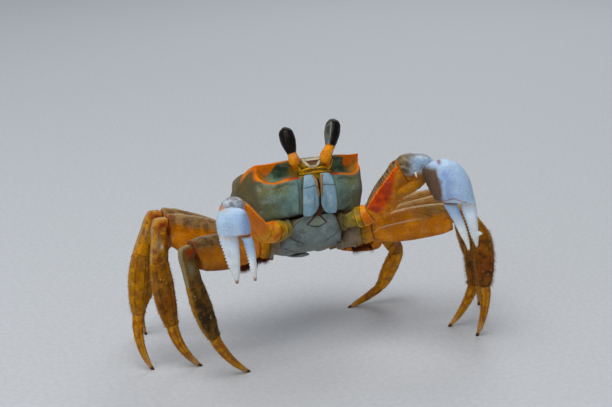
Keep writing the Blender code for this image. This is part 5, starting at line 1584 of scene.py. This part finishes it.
def arm(side):
    pts = [np.array(p) for p in (ARM_L if side == "L" else ARM_R)]
    sign = 1 if side == "L" else -1
    seed = 300 if side == "L" else 340
    first = np.cross(pts[1] - pts[0], pts[2] - pts[1])
    second = np.cross(pts[2] - pts[1], pts[3] - pts[2])
    if float(first @ second) < 0:
        second = -second
    route = Route(pts, (3.0, 8.0 if side == "L" else 3.6), [(0.0, first), (0.25, first), (0.75, second)])
    elbow, bend = (float(route.s[np.argmin(np.linalg.norm(route.p - q, axis=1))]) for q in pts[1:3])
    cut_at = bend - CARPUS_AT[side]
    view = np.array((-0.42, -0.87, 0.27))            # towards the front, a little to the right

    def facing(n, way):
        return n @ unit(way)

    p = Piece("claw_%s_coxa_shell" % side, "arm")
    g, f, u, sd, _ = loft(route, 2.6, elbow - 0.15, COXA_SHAPE, 0.15, 2.3, (0, 0.7), wall=sign * 9.4)
    n = normals(g)
    cuts = ridge(f, 0.22 + 0.03 * u, 0.022) + ridge(f, 0.52 + 0.05 * u, 0.020)
    g = g + n * (-0.25 * cuts + 0.14 * ridge(f, 0.34, 0.05) + 0.12 * (fbm(g, 1.8, 3, seed) - 0.5))[..., None]
    m = fbm(g, 1.5, 3, seed + 1)
    col = mix(rgb(190, 142, 26), rgb(140, 114, 30), ease(0.35, 0.65, m))
    col = mix(col, mix(rgb(226, 148, 8), rgb(214, 106, 4), ease(0.4, 0.6, m)), 0.9 * ease(0.46, 0.62, f))
    col = mix(col, rgb(110, 112, 64), 0.6 * (1 - ease(0.05, 0.25, f)))
    col = mix(col, rgb(52, 34, 16), 0.85 * np.clip(cuts, 0, 1))
    col = mix(col, rgb(226, 200, 130), 0.5 * ridge(f, 0.30, 0.02))
    p.tube(g, col)
    membrane(p, route, elbow, 0.9, 2.4, 2.1, rgb(140, 66, 16))
    p.finish(replaces=("claw_%s_base" % side,))

    p = Piece("claw_%s_merus_shell" % side, "arm")
    g, f, u, sd, _ = loft(route, elbow + 0.15, cut_at - 0.15, ARM_SHAPE[side], 0.14, 2.5, (0.8, 0.5), lip=0.10)
    n = normals(g)
    length = cut_at - elbow
    grain = granules(g, 0.6, seed + 2, 0.8)
    back = ease(0.35, 0.8, u)
    wob = f * length + 1.0 * fbm(g, 1.6, 2, seed + 3)
    rug = (0.5 + 0.5 * np.cos(2 * np.pi * wob / 0.9)) ** 2
    g0 = g
    g = g + n * (0.07 * rug * back + 0.05 * grain + 0.14 * (fbm(g, 2.6, 2, seed + 4) - 0.5))[..., None]
    m = fbm(g, 1.6, 4, seed + 5)
    if side == "L":
        col = mix(rgb(214, 132, 4), rgb(184, 104, 2), ease(0.35, 0.65, m))
        col = mix(col, rgb(146, 84, 4), 0.65 * ease(0.45, 0.9, f) * ease(0.6, -0.1, u))
    else:
        col = mix(ORANGE, rgb(226, 120, 2), ease(0.35, 0.65, m))
        col = mix(col, rgb(222, 158, 10), 0.8 * (1 - ease(0.05, 0.35, f)))
    # the crest of red beads runs along the front upper edge; a red blush lies below it
    crest_u = 0.80 if side == "L" else 0.72
    fside = sd * np.sign((np.asarray(normals(g0)[len(g0) // 2]) @ view)[int(0.25 * g0.shape[1])] + 1e-9)
    near = ease(0.1, 0.5, fside)
    blush = ease(-0.30, 0.25, u + 0.25 * (0.5 - f)) * (1 - ease(0.80, 0.90, u)) * ease(0.02, 0.3, fside) * ease(0.05, 0.16, f) * (1 - ease(0.78, 1.02, f + 0.5 * (0.6 - u)))
    col = mix(col, mix(rgb(206, 62, 2), rgb(170, 44, 2), ease(0.4, 0.6, m)), (0.92 if side == "L" else 0.15) * blush)
    dorsal = ease(0.86, 0.93, u + 0.05 * (m - 0.5))
    if side == "R":
        dorsal = dorsal * (1 - near)
    grey = mix(rgb(104, 84, 54), rgb(58, 44, 24), ease(0.4, 0.6, m))
    col = mix(col, grey, (0.9 if side == "L" else 0.45) * dorsal)
    col = mix(col, rgb(184, 174, 150), 0.35 * rug * dorsal)
    p.tube(g, col)
    # beads
    r, c = g.shape[:2]
    rng = np.random.default_rng(seed)
    roots, ways, hs, cs = [], [], [], []
    ucol = u[0]
    fcol = fside[0]
    for target, count, size, tone in ((crest_u, 20 if side == "L" else 12, 0.62 if side == "L" else 0.30,
                                      rgb(238, 92, 8) if side == "L" else ORANGE), (-0.62, 16, 0.34, rgb(206, 132, 30))):
        score = np.abs(ucol - target) + (fcol < 0) * 9
        ci = int(np.argmin(score))
        for i in range(count):
            fi = 0.12 + 0.84 * i / (count - 1)
            ri = int(fi * (r - 1))
            roots.append(g[ri, ci])
            ways.append(n[ri, ci] + 0.25 * rng.normal(size=3) * 0.3)
            hs.append(size * rng.uniform(0.75, 1.2))
            cs.append(tone * rng.uniform(0.8, 1.15))
    tooth_row(p, roots, ways, hs, 0.34 if side == "L" else 0.26, cs)
    if side == "L":
        # the soft golden corner in the crook of the arm
        crook = np.array([(18.6, -25.6, 51.0), (21.4, -28.6, 53.2), (24.6, -29.9, 55.2), (28.0, -29.6, 57.2)])
        curved_tube(p, (crook - BODY_AT) @ BODY_ROT,
                    [(0, 1.2), (0.35, 2.1), (0.7, 2.0), (1, 1.2)], rgb(178, 112, 10), size=0.25, rough=0.5, seed=310)
    membrane(p, route, cut_at, 1.2, 4.5 if side == "L" else 2.1, 2.5 if side == "L" else 2.0, rgb(150, 92, 34))
    p.finish(replaces=("claw_%s_merus" % side,))

    p = Piece("claw_%s_carpus_shell" % side, "claw")
    g, f, u, sd, _ = loft(route, cut_at + 0.15, route.length, CARPUS_SHAPE[side], 0.13, 2.35, (0.5, 1.2), lip=0.12)
    n = normals(g)
    grain = granules(g, 0.66, seed + 6)
    g1 = g
    g = g + n * (0.10 * grain * ease(-0.2, 0.4, u) + 0.03 * grain + 0.14 * (fbm(g, 2.6, 2, seed + 7) - 0.5))[..., None]
    m = fbm(g, 1.6, 4, seed + 8)
    top = ease(-0.05, 0.30, u + 0.25 * (m - 0.5))
    fside = sd * np.sign((np.asarray(normals(g1)[len(g1) // 2]) @ view)[int(0.25 * g1.shape[1])] + 1e-9)
    white = mix(rgb(196, 214, 230), rgb(160, 186, 214), ease(0.4, 0.6, m))
    white = mix(white, WHITE, 0.35 * grain)
    under = mix(rgb(198, 122, 14), rgb(150, 84, 8), ease(0.35, 0.65, m))
    if side == "L":
        stria = (0.5 + 0.5 * np.cos(2 * np.pi * (5.5 * f + 1.6 * u + 1.3 * fbm(g, 2.4, 2, seed + 9)))) ** 2
        greyed = mix(rgb(116, 98, 70), rgb(84, 66, 42), ease(0.4, 0.62, m))
        greyed = mix(greyed, rgb(178, 166, 144), 0.55 * stria)
        white = mix(greyed, white, ease(0.10, 0.30, f - 0.16 * (u - 0.6) + 0.10 * (m - 0.5)))
        white = mix(white, rgb(118, 98, 70), 0.6 * ease(0.95, 0.99, u) * (1 - ease(0.4, 0.7, f)))
    else:
        white = mix(rgb(170, 180, 196), rgb(138, 136, 140), ease(0.4, 0.62, m))
        white = mix(white, rgb(206, 212, 220), 0.55 * ease(0.52, 0.66, fbm(g, 1.1, 2, seed + 12)))
        under = mix(rgb(228, 142, 14), rgb(206, 116, 6), m)
        white = mix(mix(rgb(226, 122, 6), rgb(150, 112, 84), ease(0.45, 0.6, m)), white, ease(0.10, 0.34, f + 0.16 * (m - 0.5)))
    col = mix(under, white, top)
    p.tube(g, col)
    # the spine on the inner face
    r, c = g.shape[:2]
    ci = int(np.argmin(np.abs(u[0] - 0.18) + (fside[0] < 0) * 9))
    ri = int((0.30 if side == "L" else 0.30) * (r - 1))
    tooth_row(p, [g[ri, ci]], [n[ri, ci] + np.array((0.1, 0, -1.3))], [1.9 if side == "L" else 0.9], 0.45, [PALE])
    p.finish(replaces=("claw_%s_carpus" % side,))


# ----------------------------------------------------------------------------
# dark tufts between the leg bases
# ----------------------------------------------------------------------------
def base_tufts():
    piece = Piece("base_tufts", "hair")
    rng = np.random.default_rng(77)
    k = 0
    for key in LEG_STANCE:
        number, side = int(key[0]), (1 if key[2] == "L" else -1)
        if number == 5:
            continue
        route = leg_route(key)[0]
        lo, hi, longest, n = {"3_L": (2.6, 8.4, 3.0, 520), "2_R": (3.8, 8.4, 2.3, 760),
                              "3_R": (5.0, 10.4, 2.6, 420)}.get(key, (3.2, 7.4, 1.7, 220))
        n = n
        s = rng.uniform(lo, hi, n)
        if key == "2_R":
            s = np.where(np.arange(n) % 2 == 0, s, rng.uniform(10.6, 14.6, n))
        ang = rng.uniform(-0.7, 0.7, n)
        roots, ways = [], []
        for st, a in zip(s, ang):
            t, nn, h = route.frame(st)
            down = -h if h[2] > 0 else h
            way = unit(down * math.cos(a) + nn * math.sin(a))
            roots.append(route.at(st) + down * ((2.9 + 2.1 * float(ease(7.4, 8.6, st)) + 0.3 * float(ease(10, 13, st))) * math.cos(a)) + nn * (2.0 * math.sin(a)))
            ways.append(way * 0.7 + t * 0.25 + np.array((0, 0, -0.5)) + 0.22 * rng.normal(size=3))
        lengths = rng.uniform(0.5 * longest, longest, n)
        tone = mix(rgb(112, 40, 8), rgb(48, 20, 8), rng.uniform(0, 1, n))
        uv = np.stack([0.02 + 0.96 * (k + (s - 2.6) / 12.2) / 6.0, 0.5 + 0.4 * ang], -1)
        hair_tufts(piece, roots, ways, lengths, 0.085, tone, uv, droop=0.2, seed=500 + k)
        k += 1
    piece.finish()


carapace()
sternum()
abdomen()
for side_ in "RL":
    maxilliped(side_)
    eye(side_)
    arm(side_)
    hand(side_)
face_parts()
for key_ in LEG_STANCE:
    leg(key_)
base_tufts()

bpy.context.view_layer.update()
